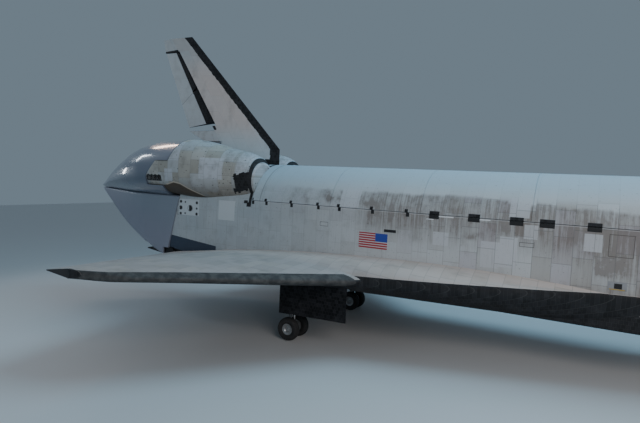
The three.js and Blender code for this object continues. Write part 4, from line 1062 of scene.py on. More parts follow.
def pod_felt(look):
    """Beige and pale blue patches with small dark plugs, a black tile patch and a dark brown belly
    below a pale chine line, the belly a painted shade where the pod turns under."""
    paint = Paint("pod blanket")
    seam, tint, hue = patches(paint, paint.xo + 9.0, paint.zo, (31.0, 30.0), 5.0)
    mottle = paint.noise(18, detail=6)
    colour = paint.mix(paint.step(tint, 0.2, 0.9) * 0.75, (0.46, 0.46, 0.43), (0.33, 0.325, 0.29))
    colour = paint.mix(paint.step(hue, 0.62, 0.7) * 0.6, colour, (0.44, 0.49, 0.54))
    fresh = paint.rectangle(paint.xo, paint.zo, (1496, 520), (34, 42), 0.6)
    fresh = fresh + paint.rectangle(paint.xo, paint.zo, (1402, 484), (52, 46), 0.8)
    fresh = fresh + paint.rectangle(paint.xo, paint.zo, (1508, 466), (24, 28), 0.6)
    front = (1 - paint.step(paint.xo, 1344, 1350)) * paint.step(paint.zo, 470, 476)
    colour = paint.mix((fresh + front).least(1.0) * 0.8, colour, (0.54, 0.58, 0.64))
    row_gap, small = paint.tiles(paint.xo, paint.zo, (5.0, 5.0), 0.3)
    fore = 1 - paint.step(paint.xo, 1372, 1384)
    colour = paint.mix(fore * (row_gap * 0.35 + small * 0.15), colour, (0.22, 0.21, 0.2))
    colour = paint.mix(paint.step(mottle, 0.45, 0.74) * 0.45, colour, (0.19, 0.18, 0.16))
    low = 1 - paint.step(paint.zo, 426, 466)
    colour = paint.mix(low * (0.3 + mottle * 0.6), colour, (0.15, 0.12, 0.09))
    for scale, seed in ((13.0, 0.0), (8.0, 40.0)):
        place = paint.vector(paint.xo + seed, paint.y, paint.zo)
        cell = paint.node("ShaderNodeTexVoronoi", {"feature": "F1"}, place, Scale=1 / scale)
        plug = 1 - paint.step(cell, 0.09, 0.12)
        colour = paint.mix(plug * 0.85, colour, (0.07, 0.065, 0.06))
    colour = paint.mix(seam * 0.4, colour, look.gap)
    # Dark brown below the chine: a painted shade on the underside where the pod turns under
    chine = paint.along(paint.xo, POD_CHINE)
    belly = (paint.xo > 1424.0) * (paint.zo < chine)
    colour = paint.mix(belly * 0.9, colour, (0.07, 0.05, 0.035))
    line = paint.within(paint.zo - chine, -0.2, 2.4, 0.4) * paint.within(paint.xo, 1430, 1520, 2)
    colour = paint.mix(line * 0.8, colour, (0.55, 0.47, 0.38))
    row = (paint.zo / 6.0).floor()
    jog = (paint.chance(row, 4.0, 0.0) - 0.5) * 8
    column = (paint.xo / 6.0).floor()
    lift = (paint.chance(column, 9.0, 0.0) - 0.5) * 5 + (paint.xo - 1336) * 0.3
    tile = paint.within(paint.xo + jog, 1316, 1350, 0.3) * paint.within(paint.zo + lift, 438, 477, 0.3)
    tile = tile * paint.step(paint.aside, 60, 66)
    # A black band at the pod's front edge: the dark gap there, with its shade painted in
    strip = paint.within(paint.xo, 1311, 1318, 0.6)
    rim = paint.within(paint.xo + (paint.zo - 498) * 0.495, 1509.4, 1511.4) * (paint.zo > 498.0)
    rim = rim.most(paint.within(paint.zo, 496.6, 498.4) * (paint.xo > 1511.0))
    colour = paint.mix(rim * 0.8, colour, (0.05, 0.05, 0.05))
    lobes = abs((paint.xo / 12.5 - 122.58).fraction() - 0.5) * 5.0
    housing = paint.within(paint.xo, 1532, 1583) * (paint.zo > 451.5) * (paint.zo + lobes < 466.5)
    under = tile.most(strip).most(housing)
    colour = paint.mix(under, colour, black_tile_look(paint, look, paint.zo)[0])
    height = tint * 0.5 - seam * 0.6 + mottle * 0.4 - plug * 0.6
    bump = paint.bump(height, 0.5, 0.005)
    return paint.finish(colour, 0.68 + under * 0.02, bump, Specular_IOR_Level=0.35)


def fin_tiles(look):
    """White tiles tinted in slanted fields, black along the leading edge and round the hinge."""
    paint = Paint("fin tile")
    ahead = paint.xo - (paint.zo - ROOF + FIN_FRONT).most(1313.0)
    seam, tint, hue = patches(paint, paint.xo - paint.zo * 0.7, paint.zo, (34.0, 52.0), 8.0)
    gap, small = paint.tiles(paint.xo, paint.zo, (8.0, 8.0), 0.2)
    mottle = paint.noise(30, (1, 1, 1.6), 5)
    colour = paint.mix(paint.step(tint, 0.2, 0.95) * 0.45, look.white, look.white_aged)
    colour = paint.mix(paint.step(hue, 0.55, 0.95) * 0.35, colour, (0.56, 0.5, 0.47))
    # A warm band up the middle and a bluish foot: painted casts of the warm light and of the cool light
    colour = paint.mix(paint.within(paint.zo, 560, 745, 40) * 0.6, colour, (0.74, 0.62, 0.57))
    colour = paint.mix((1 - paint.step(paint.zo, 520, 610)) * 0.7, colour, (0.56, 0.67, 0.73))
    colour = paint.mix(paint.step(mottle, 0.5, 0.75) * 0.3, colour, look.dust)
    colour = paint.mix(seam * 0.16 + gap * 0.1 + small * 0.05, colour, look.gap)
    row = (paint.zo / 6.0).floor()
    jag = (paint.chance(row, 5.0, 0.0) - 0.5) * 2.2
    strip = 1 - paint.step(ahead - 24.5 + jag, -0.4, 0.4)
    hinge_at_zero = FIN_FRONT - ROOF + HINGE_SHARE * (FIN_CHORD + FIN_TAPER * ROOF)
    cove_xo = paint.zo * (1 - HINGE_SHARE * FIN_TAPER) + hinge_at_zero
    cove = (paint.xo > cove_xo - 2.0 + jag * 0.8) * paint.within(paint.zo, RUDDER_FOOT - 8, 786, 0.2)
    root = (paint.zo < 512.0) * (paint.xo < 1350.0)
    under = strip.most(cove).most(root)
    colour = paint.mix(under, colour, black_tile_look(paint, look, paint.zo)[0])
    height = small * 0.3 - gap * 0.4 - seam * 0.4
    bump = paint.bump(height, 0.45, 0.004)
    return paint.finish(colour, 0.7 + under * 0.02, bump, Specular_IOR_Level=0.35)


def rudder_tiles(look):
    """White panels with one seam square to the hinge."""
    paint = Paint("rudder tile")
    along = paint.zo * LEAN_COS + paint.xo * LEAN_SIN
    seam = paint.within(along, 1455.2, 1456.6, 0.4)
    mottle = paint.noise(24, detail=5)
    gap, small = paint.tiles(paint.xo, paint.zo, (8.0, 8.0), 0.2)
    colour = paint.mix(paint.step(mottle, 0.4, 0.75) * 0.5, look.white, look.white_aged)
    colour = paint.mix(seam * 0.7 + gap * 0.12, colour, look.gap)
    across = paint.xo * LEAN_COS - paint.zo * LEAN_SIN
    hinge = rudder_hinge(RUDDER_SPLIT) * LEAN_COS - RUDDER_SPLIT * LEAN_SIN
    middle = rudder_hinge(RUDDER_SPLIT) * LEAN_SIN + RUDDER_SPLIT * LEAN_COS
    arm = (across < hinge + fairing_reach(RUDDER_SPLIT)) * paint.within(along, middle - 5, middle + 5)
    # Faces turned down are black, a painted shade on the undersides; the arm is black too
    colour = paint.mix((paint.up_facing < -0.6).most(arm), colour, look.black)
    return paint.finish(colour, 0.7, paint.bump(small * 0.3 - gap * 0.4 - seam, 0.45, 0.004))


def carbon(look):
    """Grey coated carbon of the nose cap and leading edges: dark, mottled and slightly glossy."""
    paint = Paint("grey carbon")
    mottle = paint.noise(12, detail=6)
    colour = paint.mix(paint.step(mottle, 0.35, 0.7), look.carbon, look.carbon_aged)
    pits = paint.step(paint.noise(1.6, detail=3), 0.62, 0.7)
    colour = paint.mix(pits * 0.3, colour, (0.06, 0.06, 0.06))
    bump = paint.bump(paint.noise(0.9), 0.2, 0.003)
    return paint.finish(colour, 0.68 + mottle * 0.15, bump, Specular_IOR_Level=0.25)


def cone_paint(look):
    """Glossy blue-grey paint, brighter along the crown as a painted reflection, with a painted warm
    reflection on the top front and faint seams across.
    """
    paint = Paint("cone gloss")
    seam = paint.within((paint.xo / 62.0).fraction(), 0.0, 0.008, 0.003)
    mottle = paint.noise(40, detail=5)
    # Brighter along the crown: a painted reflection of the light from above
    colour = paint.mix(paint.step(paint.zo, 430, 545) * 0.5, look.cone, look.cone_side)
    # A warm tint on the top front: a painted warm reflection
    painted_warm_reflection = paint.step(paint.zo, 480, 540) * (1 - paint.step(paint.xo, 1560, 1640))
    colour = paint.mix(painted_warm_reflection * 0.5, colour, (0.36, 0.3, 0.31))
    colour = paint.mix(paint.step(mottle, 0.5, 0.75) * 0.2, colour, (0.14, 0.15, 0.18))
    colour = paint.mix(seam * 0.25, colour, (0.1, 0.1, 0.12))
    edge = 1 - paint.step(abs(paint.zo - 421.5), 0.6, 1.0)
    colour = paint.mix(edge * 0.5, colour, (0.12, 0.12, 0.13))
    bump = paint.bump(mottle, 0.06, 0.02)
    return paint.finish(colour, 0.2 + mottle * 0.08, bump, Coat_Weight=0.9, Coat_Roughness=0.06)


def cone_side_paint(look):
    """Satin blue-grey paint of the lower half, paler low down, with a painted teal reflection towards
    the top front, and faint level seams.
    """
    paint = Paint("cone side")
    mottle = paint.noise(46, (1, 1, 0.7), 5)
    line = paint.within((paint.zo / 41.0 + 0.3).fraction(), 0.0, 0.012, 0.004)
    high = tuple(part * 0.86 for part in look.cone_side)
    colour = paint.mix(paint.step(paint.zo, 300, 420), look.cone_side, high)
    colour = paint.mix(paint.step(mottle, 0.48, 0.8) * 0.25, colour, (0.2, 0.22, 0.28))
    # Teal towards the top and the front: a painted reflection of the cool light
    colour = paint.mix(paint.step(paint.zo - paint.xo * 0.3, -160, -60) * 0.4, colour, (0.24, 0.32, 0.38))
    colour = paint.mix(line * 0.2, colour, (0.2, 0.2, 0.22))
    return paint.finish(colour, 0.36 + mottle * 0.1, paint.bump(mottle, 0.1, 0.02))


def metal(name, colour, roughness, grime=0.25, metallic=0.0):
    """Painted or bare metal with soft grime and a fine orange-peel surface."""
    paint = Paint(name)
    dirt = paint.step(paint.noise(11, detail=6), 0.5, 0.75)
    shade = paint.mix(dirt * grime, colour, tuple(c * 0.35 for c in colour))
    return paint.finish(
        shade, roughness + dirt * 0.2, paint.bump(paint.noise(0.9, detail=3), 0.12, 0.002), metallic
    )


def radiator_metal():
    """Silvered panels with the tubes showing as fine ribs along the body."""
    paint = Paint("radiator")
    v = girth(paint)
    rib = abs((v / 1.9).fraction() - 0.5)
    cross = 1 - paint.step(abs((paint.xo / 30.0).fraction() - 0.5), 0.006, 0.012)
    colour = paint.mix(paint.noise(30, detail=4) * 0.4, (0.82, 0.84, 0.87), (0.6, 0.63, 0.68))
    colour = paint.mix(cross * 0.4, colour, (0.3, 0.3, 0.32))
    return paint.finish(colour, 0.16, paint.bump(paint.step(rib, 0.1, 0.5), 0.35, 0.004), 0.85)


def liner_cloth():
    """Off-white quilted liner of the bay, in squares between the frames."""
    paint = Paint("bay liner")
    v = girth(paint)
    seam, tint, hue = patches(paint, paint.xo, v, (14.0, 14.0), 11.0)
    soft = paint.noise(5, detail=5)
    colour = paint.mix(tint * 0.5, (0.62, 0.63, 0.6), (0.5, 0.52, 0.5))
    colour = paint.mix(seam * 0.5, colour, (0.3, 0.3, 0.29))
    return paint.finish(colour, 0.8, paint.bump(soft - seam * 0.8 + hue * 0.2, 0.6, 0.012))


FLAG_FOOT = 349.6


def flag_stripes():
    """Thirteen stripes across the height, with a blue corner upwards and towards the nose."""
    paint = Paint("flag panel")
    red = ((paint.zo - FLAG_FOOT) / 4.38).fraction() < 0.6
    blue = (paint.xo < 1022.3) * (paint.zo > 362.8)
    colour = paint.mix(red, (0.55, 0.55, 0.57), (0.4, 0.02, 0.03))
    colour = paint.mix(blue, colour, (0.03, 0.06, 0.36))
    return paint.finish(colour, 0.7, paint.bump(paint.noise(2), 0.2, 0.003))


def rubber():
    """Tyre rubber with a dusty tread."""
    paint = Paint("tyre rubber")
    dust = paint.step(paint.noise(5, detail=6), 0.45, 0.75)
    colour = paint.mix(dust * 0.5, (0.018, 0.018, 0.019), (0.07, 0.068, 0.065))
    return paint.finish(colour, 0.75 + dust * 0.15, paint.bump(paint.noise(0.5, detail=4), 0.3, 0.003))


def glass():
    paint = Paint("dark glass")
    return paint.finish((0.012, 0.014, 0.018), 0.05, Specular_IOR_Level=0.7, Coat_Weight=0.5)


def plain(name, colour, roughness=0.6, metallic=0.0):
    paint = Paint(name)
    return paint.finish(colour, roughness, paint.bump(paint.noise(1.5), 0.15, 0.002), metallic)


# Settings


def colour_setting(name, description, default):
    return FloatVectorProperty(name=name, description=description, subtype="COLOR", default=default)


def angle_setting(name, description, degrees):
    return FloatProperty(name=name, description=description, subtype="ANGLE", default=math.radians(degrees))


class OrbiterFinish(bpy.types.PropertyGroup):
    """The colours that a user would change."""

    white: colour_setting("White", "Clean white tile and blanket", (0.56, 0.59, 0.61))
    white_aged: colour_setting("Aged white", "Tile after some flights", (0.42, 0.42, 0.41))
    dust: colour_setting("Dust", "Brown-grey soot and dust", (0.14, 0.103, 0.08))
    gap: colour_setting("Gap", "Gaps between tiles", (0.18, 0.18, 0.18))
    black: colour_setting("Black", "Black tile", (0.009, 0.0095, 0.011))
    black_aged: colour_setting("Aged black", "Weathered black tile", (0.026, 0.027, 0.031))
    carbon: colour_setting("Carbon", "Grey nose cap and leading edges", (0.055, 0.055, 0.056))
    carbon_aged: colour_setting("Aged carbon", "Carbon bleached by heat", (0.11, 0.107, 0.103))
    cone: colour_setting("Cone", "Paint of the tail cone", (0.11, 0.14, 0.195))
    cone_side: colour_setting("Cone side", "Paint of the cone's lower half", (0.25, 0.27, 0.34))


class OrbiterView(bpy.types.PropertyGroup):
    """Where the camera stands and how it is turned, in the vehicle's own axes."""

    xo: FloatProperty(name="Station", description="Inches aft", default=678.16)
    y: FloatProperty(name="Aside", description="Inches to port", default=-930.73)
    zo: FloatProperty(name="Height", description="Inches up", default=475.61)
    yaw: angle_setting("Yaw", "Turn left of ahead", 119.278)
    pitch: angle_setting("Pitch", "Upward tilt", -4.007)
    roll: angle_setting("Roll", "Turn about the view", 2.595)
    lens: FloatProperty(name="Lens", description="Focal length in mm on 36 mm", default=27.35)


def colours():
    return bpy.context.scene.orbiter_finish


# Pieces


def strip(name, outline, xo):
    """A bar along the body: an outline of (y, zo) corners, at each of the given stations."""
    y, zo = np.array(outline, dtype=float).T
    return tube(name, [station(x, y, zo) for x in xo])


def arc_outline(side, outer, inner, start, end, steps=60):
    """Corners of a strip of the round roof between two angles and two radii."""
    angle = np.linspace(start, end, steps)
    y = np.concatenate([outer * np.cos(angle), inner * np.cos(angle[::-1])])
    zo = ROOF_CENTRE + np.concatenate([outer * np.sin(angle), inner * np.sin(angle[::-1])])
    return np.stack([side * y, zo], axis=-1)


def hatch_disc(name, radius, proud, deep, lift=0):
    """A round plate on the forward body's port side, about the crew hatch's middle or lift above it:
    the square's point (u, v) goes to the disc's point (u (1 - v**2 / 2)**0.5, v (1 - u**2 / 2)**0.5)."""
    u, v = np.meshgrid(np.linspace(-1, 1, 24), np.linspace(-1, 1, 24), indexing="ij")
    xo = HATCH[0] + radius * u * np.sqrt(1 - v**2 / 2)
    zo = HATCH[1] + lift + radius * v * np.sqrt(1 - u**2 / 2)
    return facing_plate(name, PORT, xo, reach_at(FORWARD_BODY, xo, zo), zo, proud, deep)


def skin_patch(name, corners, shallow, deep, grow=0.0, steps=12):
    """A plate in the forward body's skin between four corners (xo, degrees up from port), blended
    as (1 - u)(1 - v) a + u (1 - v) b + u v c + (1 - u) v d."""
    corners = np.array(corners, dtype=float)
    a, b, c, d = corners + np.sign(corners - corners.mean(axis=0)) * grow
    u, v = np.meshgrid(np.linspace(0, 1, steps), np.linspace(0, 1, steps), indexing="ij")
    u, v = u[..., None], v[..., None]
    place = (1 - u) * (1 - v) * a + u * (1 - v) * b + u * v * c + (1 - u) * v * d
    xo, angle = place[..., 0], np.radians(place[..., 1])
    return slab(name, *(body_points(FORWARD_BODY, xo, angle, depth) for depth in (shallow, deep)))


def hoop(name, centre, along, radius, thick, sides=40):
    """A ring round a line in metres, round in section: a circle of thick carried round radius."""
    centre, along = np.asarray(centre, dtype=float), np.asarray(along, dtype=float)
    along = along / np.linalg.norm(along)
    across, upright = square_to(along)
    turn = round_angles(sides)[:, None, None]
    roll = round_angles(12)[None, :, None]
    out = np.cos(turn) * across + np.sin(turn) * upright
    reach = radius + thick * np.cos(roll)
    return endless(name, centre + INCH * (reach * out + thick * np.sin(roll) * along))


def hose(name, path, radius, sides=12, steps=48):
    """A hose through stations: a Catmull-Rom curve through them, with a circle carried along it."""
    knots = np.array([path[0], *path, path[-1]], dtype=float)
    t = np.linspace(0, len(path) - 1 - 1e-6, steps)
    i = t.astype(int)
    f = (t - i)[:, None]
    p = [knots[i + k] for k in range(4)]
    line = 0.5 * (
        2 * p[1] + (p[2] - p[0]) * f + (2 * p[0] - 5 * p[1] + 4 * p[2] - p[3]) * f**2
        + (3 * p[1] - p[0] - 3 * p[2] + p[3]) * f**3
    )
    line = station(*line.T)
    along = np.gradient(line, axis=0)
    along /= np.linalg.norm(along, axis=1)[:, None]
    across = np.cross(along, [0.3, 0.9, 0.1])
    across /= np.linalg.norm(across, axis=1)[:, None]
    upright = np.cross(along, across)
    roll = round_angles(sides)[None, :, None]
    circle = np.cos(roll) * across[:, None] + np.sin(roll) * upright[:, None]
    return tube(name, line[:, None] + radius * INCH * circle)


def thrusters(places, radius, depth):
    """Cups for thrusters that open along each line (mouth, inside) in metres: the cutters that hollow
    them out, and the linings and rims that go in."""
    cutters, linings = [], []
    for mouth, inside in places:
        along = (mouth - inside) / np.linalg.norm(mouth - inside)
        floor = mouth - along * depth * INCH
        cutters.append(rod("cup", mouth + along * 4 * INCH, floor, radius * INCH))
        ends = (floor + along * 0.4 * INCH, floor - along * 0.3 * INCH)
        linings.append(rod("floor", *ends, radius * 0.98 * INCH))
        linings.append(hoop("throat", floor + along * 1.2 * INCH, along, radius * 0.8, 0.9))
        linings.append(hoop("rim", mouth - along * 0.35 * INCH, along, radius - 0.1, 0.35))
    return joined("cups", cutters), joined("linings", linings)


FLOOR_SIZE = 120.0
# Lamps: name, place, the point it faces, size in metres, watts and colour
LIGHTS = (
    ("key", (13.0, -13.0, 9.0), (3.0, 0.0, 2.5), (9.0, 9.0), 1050.0, (1.0, 0.92, 0.87)),
    ("side", (-9.0, -16.0, 8.0), (-4.0, 0.0, 3.5), (9.0, 9.0), 120.0, (0.75, 0.88, 1.0)),
    ("top", (5.0, 3.0, 17.0), (2.0, 0.0, 3.0), (12.0, 12.0), 1500.0, (0.38, 0.74, 1.0)),
    ("tail low", (-16.5, -1.0, 5.3), (-7.6, -1.5, 4.3), (0.5, 1.5), 28.0, (0.9, 0.95, 1.0)),
    ("tail high", (-14.4, -1.6, 8.9), (-6.7, -1.6, 4.7), (0.7, 3.2), 80.0, (0.85, 0.93, 1.0)),
    ("tail warm", (-12.6, 2.6, 9.8), (-6.1, -1.3, 5.0), (2.4, 1.0), 60.0, (1.0, 0.75, 0.62)),
)


class Stage(bpy.types.Operator):
    """Pale floor, soft light and the camera"""

    bl_idname = "orbiter.stage"
    bl_label = "Stage"

    def execute(self, context):
        scene = context.scene
        corners = FLOOR_SIZE * np.array([(-1, -1, 0), (1, -1, 0), (1, 1, 0), (-1, 1, 0)], dtype=float)
        floor = new_object("floor", mesh_of("floor", corners, [[0, 1, 2, 3]]))
        floor.data.materials.append(Paint("pale floor").finish((0.7, 0.7, 0.7), 0.6))
        world = bpy.data.worlds.new("studio")
        world.use_nodes = True
        background = world.node_tree.nodes["Background"]
        background.inputs["Color"].default_value = (0.62, 0.82, 1.0, 1)
        background.inputs["Strength"].default_value = 0.25
        scene.world = world
        for name, place, aim, width, power, colour in LIGHTS:
            lamp = bpy.data.lights.new(name, "AREA")
            lamp.shape = "ELLIPSE"
            lamp.size, lamp.size_y = width
            lamp.energy = power
            lamp.color = colour
            light = bpy.data.objects.new(name, lamp)
            scene.collection.objects.link(light)
            light.location = place
            light.visible_camera = False
            light.rotation_euler = (Vector(aim) - Vector(place)).to_track_quat("-Z", "Y").to_euler()
        self.camera(scene)
        return {"FINISHED"}

    def camera(self, scene):
        view = scene.orbiter_view
        forward = Vector((
            math.cos(view.pitch) * math.cos(view.yaw),
            math.cos(view.pitch) * math.sin(view.yaw),
            math.sin(view.pitch),
        ))
        right = forward.cross(Vector((0, 0, 1))).normalized()
        up = right.cross(forward)
        turned_right = math.cos(view.roll) * right + math.sin(view.roll) * up
        turned_up = -math.sin(view.roll) * right + math.cos(view.roll) * up
        lean = Matrix.Rotation(NOSE_DOWN, 4, "Y")
        axes = Matrix((turned_right, turned_up, -forward)).transposed().to_4x4()
        data = bpy.data.cameras.new("camera")
        data.sensor_fit = "HORIZONTAL"
        data.sensor_width = 36.0
        data.lens = view.lens
        data.clip_end = 500.0
        camera = bpy.data.objects.new("camera", data)
        scene.collection.objects.link(camera)
        place = Matrix.Translation(Vector(station(view.xo, view.y, view.zo)))
        camera.matrix_world = place @ lean @ axes
        scene.camera = camera


WINDOWS = (
    ((398, 87.3), (399.5, 68.5), (434.5, 71.5), (436, 87.6)),
    ((400.5, 65.5), (407, 48), (440.5, 51.5), (435, 68.5)),
    ((409.5, 45), (421, 29), (450.5, 32.5), (442, 48.5)),
)
ROOF_WINDOW = ((461, 86), (461, 79), (480, 80), (480, 86.3))
HATCH = (493.0, 352.0)
HATCH_RADIUS = 20
PANE_LIFT = 5
MODULE = ((270, 44), (376, 57), (376, -57), (270, -44))


class ForwardBody(bpy.types.Operator):
    """Nose cap, forward fuselage, thruster module, windows and crew hatch"""

    bl_idname = "orbiter.forward_body"
    bl_label = "Forward body"

    def execute(self, context):
        look = colours()
        nose = body_tube("nose_cap_skin", FORWARD_BODY, NOSE_TIP + np.linspace(0.05, 5.2536, 26) ** 2)
        dress(nose, carbon(look), replaces=["nose_cap"])
        hull = blankets(look, "front blanket", "front")
        whole = body_tube("forward_skin", FORWARD_BODY, np.linspace(NOSE_CAP_END, BAY_FRONT, 90))
        module = whole.copy()
        module.data = whole.data.copy()
        bpy.context.scene.collection.objects.link(module)
        module.name = "thruster_module_skin"
        well = (NOSE_WELL["front"], NOSE_WELL["rear"])
        carve(whole, block("well", well, (-22, 22), (240, NOSE_WELL["roof"])))
        carve(whole, block("attach", (425, 439), (-6, 6), (200, 279)))
        outline = np.array(MODULE, dtype=float)
        grown = outline + np.sign(outline - (320, 0)) * 0.2
        carve(whole, plan_prism("module", grown, 352 - REST_GAP, 430))
        carve(module, plan_prism("module", outline, 352, 430), "INTERSECT")
        self.windows(whole)
        self.hatch(whole, hull)
        self.module(module, hull)
        dress(whole, hull, replaces=["forward_fuselage"])
        return {"FINISHED"}

    def windows(self, skin):
        def both(window):
            return window, [(xo, 180 - angle) for xo, angle in window]

        ports = [port for window in WINDOWS for port in both(window)]
        small = both(ROOF_WINDOW)
        cutters = [skin_patch("cut", p, -6, 4.05, 0.3) for p in ports]
        cutters += [skin_patch("cut", p, -6, 0.9, 0.0) for p in small]
        carve(skin, joined("cuts", cutters))
        panes = [skin_patch("pane", p, 1, 4) for p in ports]
        panes += [skin_patch("pane", p, 0.5, 1.5, -0.1) for p in small]
        dress(joined("cockpit_panes", panes), glass(), replaces=["cockpit_glazing"])
        frames = [
            carve(skin_patch("frame", p, -0.3, 1.6, 1.8), skin_patch("cut", p, -4, 4, 0.15)) for p in ports
        ]
        dark = metal("window frame", (0.05, 0.052, 0.06), 0.45)
        dress(joined("window_frames", frames), dark)

    def hatch(self, skin, hull):
        carve(skin, hatch_disc("hole", HATCH_RADIUS + RUN_GAP, 6, 5.03))
        plug = hatch_disc("crew_hatch_skin", HATCH_RADIUS, 0, 5)
        carve(plug, hatch_disc("pane", 6, 3, 0.6, PANE_LIFT))
        carve(plug, carve(hatch_disc("rim", 18.6, 1, 0.35), hatch_disc("rim", 17.8, 2, 1)))
        dress(plug, hull, "crew_hatch", ["crew_hatch"])
        pane = hatch_disc("hatch_pane", 5.8, -0.35, 0.9, PANE_LIFT)
        dress(pane, glass(), "crew_hatch")

    def module(self, skin, hull):
        lines = [(station(284, y, 384), station(296, y, 377)) for y in (-9, 0, 9)]
        for xo, degrees in ((318, (80, 90, 100)), (336, (54, 62, 118, 126)), (352, (54, 62, 118, 126))):
            for angle in np.radians(degrees):
                lines.append([body_points(FORWARD_BODY, float(xo), angle, depth) for depth in (0, 9)])
        cups, linings = thrusters(lines, 3.1, 5)
        carve(skin, cups)
        dress(skin, hull, replaces=["forward_thruster_module"])
        dress(linings, metal("thruster metal", (0.09, 0.085, 0.08), 0.45, metallic=0.6))
        linings.name = "forward_thrusters"


class MiddleBody(bpy.types.Operator):
    """Middle fuselage with the open bay's liner, frames, trays and bulkheads"""

    bl_idname = "orbiter.middle_body"
    bl_label = "Middle body"

    def execute(self, context):
        look = colours()
        half = [(99.6, 419.3), (99.6, 420), (105, 420), (105, 272), (103, 270)]
        angle = np.linspace(np.pi, 2 * np.pi, 57)
        bay = np.stack([BAY_RADIUS * np.cos(angle), BAY_CENTRE + BAY_RADIUS * np.sin(angle)], axis=-1)
        outline = np.concatenate([
            half, [(-y, zo) for y, zo in reversed(half)], [(-93, 419.3)], bay, [(93, 419.3)],
        ])
        body = strip("middle_skin", outline, (BAY_FRONT + REST_GAP, BAY_REAR - REST_GAP))
        dress(body, blankets(look), replaces=["mid_fuselage"])
        self.bay()
        self.bulkheads()
        return {"FINISHED"}

    def bay(self):
        angle = np.linspace(np.pi * 1.01, np.pi * 1.99, 57)

        def arc(outer, inner):
            ring = [
                np.stack([radius * np.cos(turn), BAY_CENTRE + radius * np.sin(turn)], axis=-1)
                for radius, turn in ((outer, angle), (inner, angle[::-1]))
            ]
            return np.concatenate(ring)

        liner = strip("bay_liner", arc(91.95, 91.6), (BAY_FRONT + 0.5, BAY_REAR - 0.5))
        dress(liner, liner_cloth())
        places = np.linspace(632, 1250, 13)
        frames = [strip("frame", arc(91.7, 88.8), (xo, xo + 2.2)) for xo in places]
        flanges = [strip("flange", arc(89.0, 88.4), (xo - 1.6, xo + 3.8)) for xo in places]
        stringers = []
        for a in np.radians((200, 218, 236, 304, 322, 340)):
            out = np.array((np.cos(a), np.sin(a)))
            over = np.array((-np.sin(a), np.cos(a))) * 1.2
            corners = ((91.7, -1), (91.7, 1), (90.4, 1), (90.4, -1))
            ring = [(0, BAY_CENTRE) + out * radius + over * end for radius, end in corners]
            stringers.append(strip("stringer", ring, (BAY_FRONT + 4, BAY_REAR - 4)))
        grey = metal("bay frame", (0.42, 0.45, 0.4), 0.5, 0.3)
        dress(joined("bay_frames", frames + flanges + stringers), grey)
        trays = []
        tray = ((84, 380), (84, 388), (91.2, 388), (89.8, 380))
        rail = ((90.6, 409), (90.6, 414), (92.4, 414), (91.8, 409))
        for side in (PORT, STARBOARD):
            for corners, ends in ((tray, (600, 1288)), (rail, (590, 1298))):
                trays.append(strip("tray", [(side * y, zo) for y, zo in corners], ends))
        trays.append(strip("keel", [(-5, 308.6), (5, 308.6), (4, 311.6), (-4, 311.6)], (600, 1288)))
        for xo in np.arange(640, 1260, 39.4):
            trays.append(block("fitting", (xo, xo + 7), (-6.5, 6.5), (308.8, 313.4)))
            trays += [block("bridge", (xo, xo + 9), y, (403, 408)) for y in ((87.4, 92.3), (-92.3, -87.4))]
        bare = metal("bay metal", (0.5, 0.49, 0.42), 0.4, 0.3, 0.4)
        dress(joined("bay_trays", trays), bare)
        cables = []
        for side in (PORT, STARBOARD):
            for k, zo in enumerate((389.0, 390.1, 389.4)):
                run = np.arange(604, 1286, 31)
                path = [(xo, side * (85.4 + 1.5 * k + 0.35 * math.sin(xo / 23 + k)), zo) for xo in run]
                cables.append(hose("cable", path, 0.6, 8, 120))
        dress(joined("bay_cables", cables), plain("cable white", (0.6, 0.6, 0.57), 0.5))

    def bulkheads(self):
        front, rear = BAY_FRONT + 0.02, BAY_REAR - 0.02
        pieces = [
            block("door", (front, front + 3), (-33, 33), (330, 396)),
            bar("hatch", (front, 0, 362), (front + 6, 0, 362), 20, 64),
            hoop("ring", station(front + 6, 0, 362), (1, 0, -0.05), 20, 1.6, 64),
        ]
        for ends, places, heights in (
            ((front, front + 2.4), (-60, -44, 44, 60), (352, 402)),
            ((rear - 2.4, rear), (-50, -17, 17, 50), (332, 408)),
        ):
            pieces += [block("post", ends, (y - 1.5, y + 1.5), heights) for y in places]
        for zo in (352, 380, 408):
            pieces.append(block("beam", (rear - 2.4, rear), (-74, 74), (zo - 1.5, zo + 1.5)))
        frame_metal = metal("bulkhead metal", (0.5, 0.52, 0.48), 0.45, 0.3)
        dress(joined("bulkhead_frames", pieces), frame_metal)
        panes = [block("pane", (front, front + 1.2), (y - 6, y + 6), (438, 450)) for y in (-16, 16)]
        dress(joined("aft_windows", panes), glass())


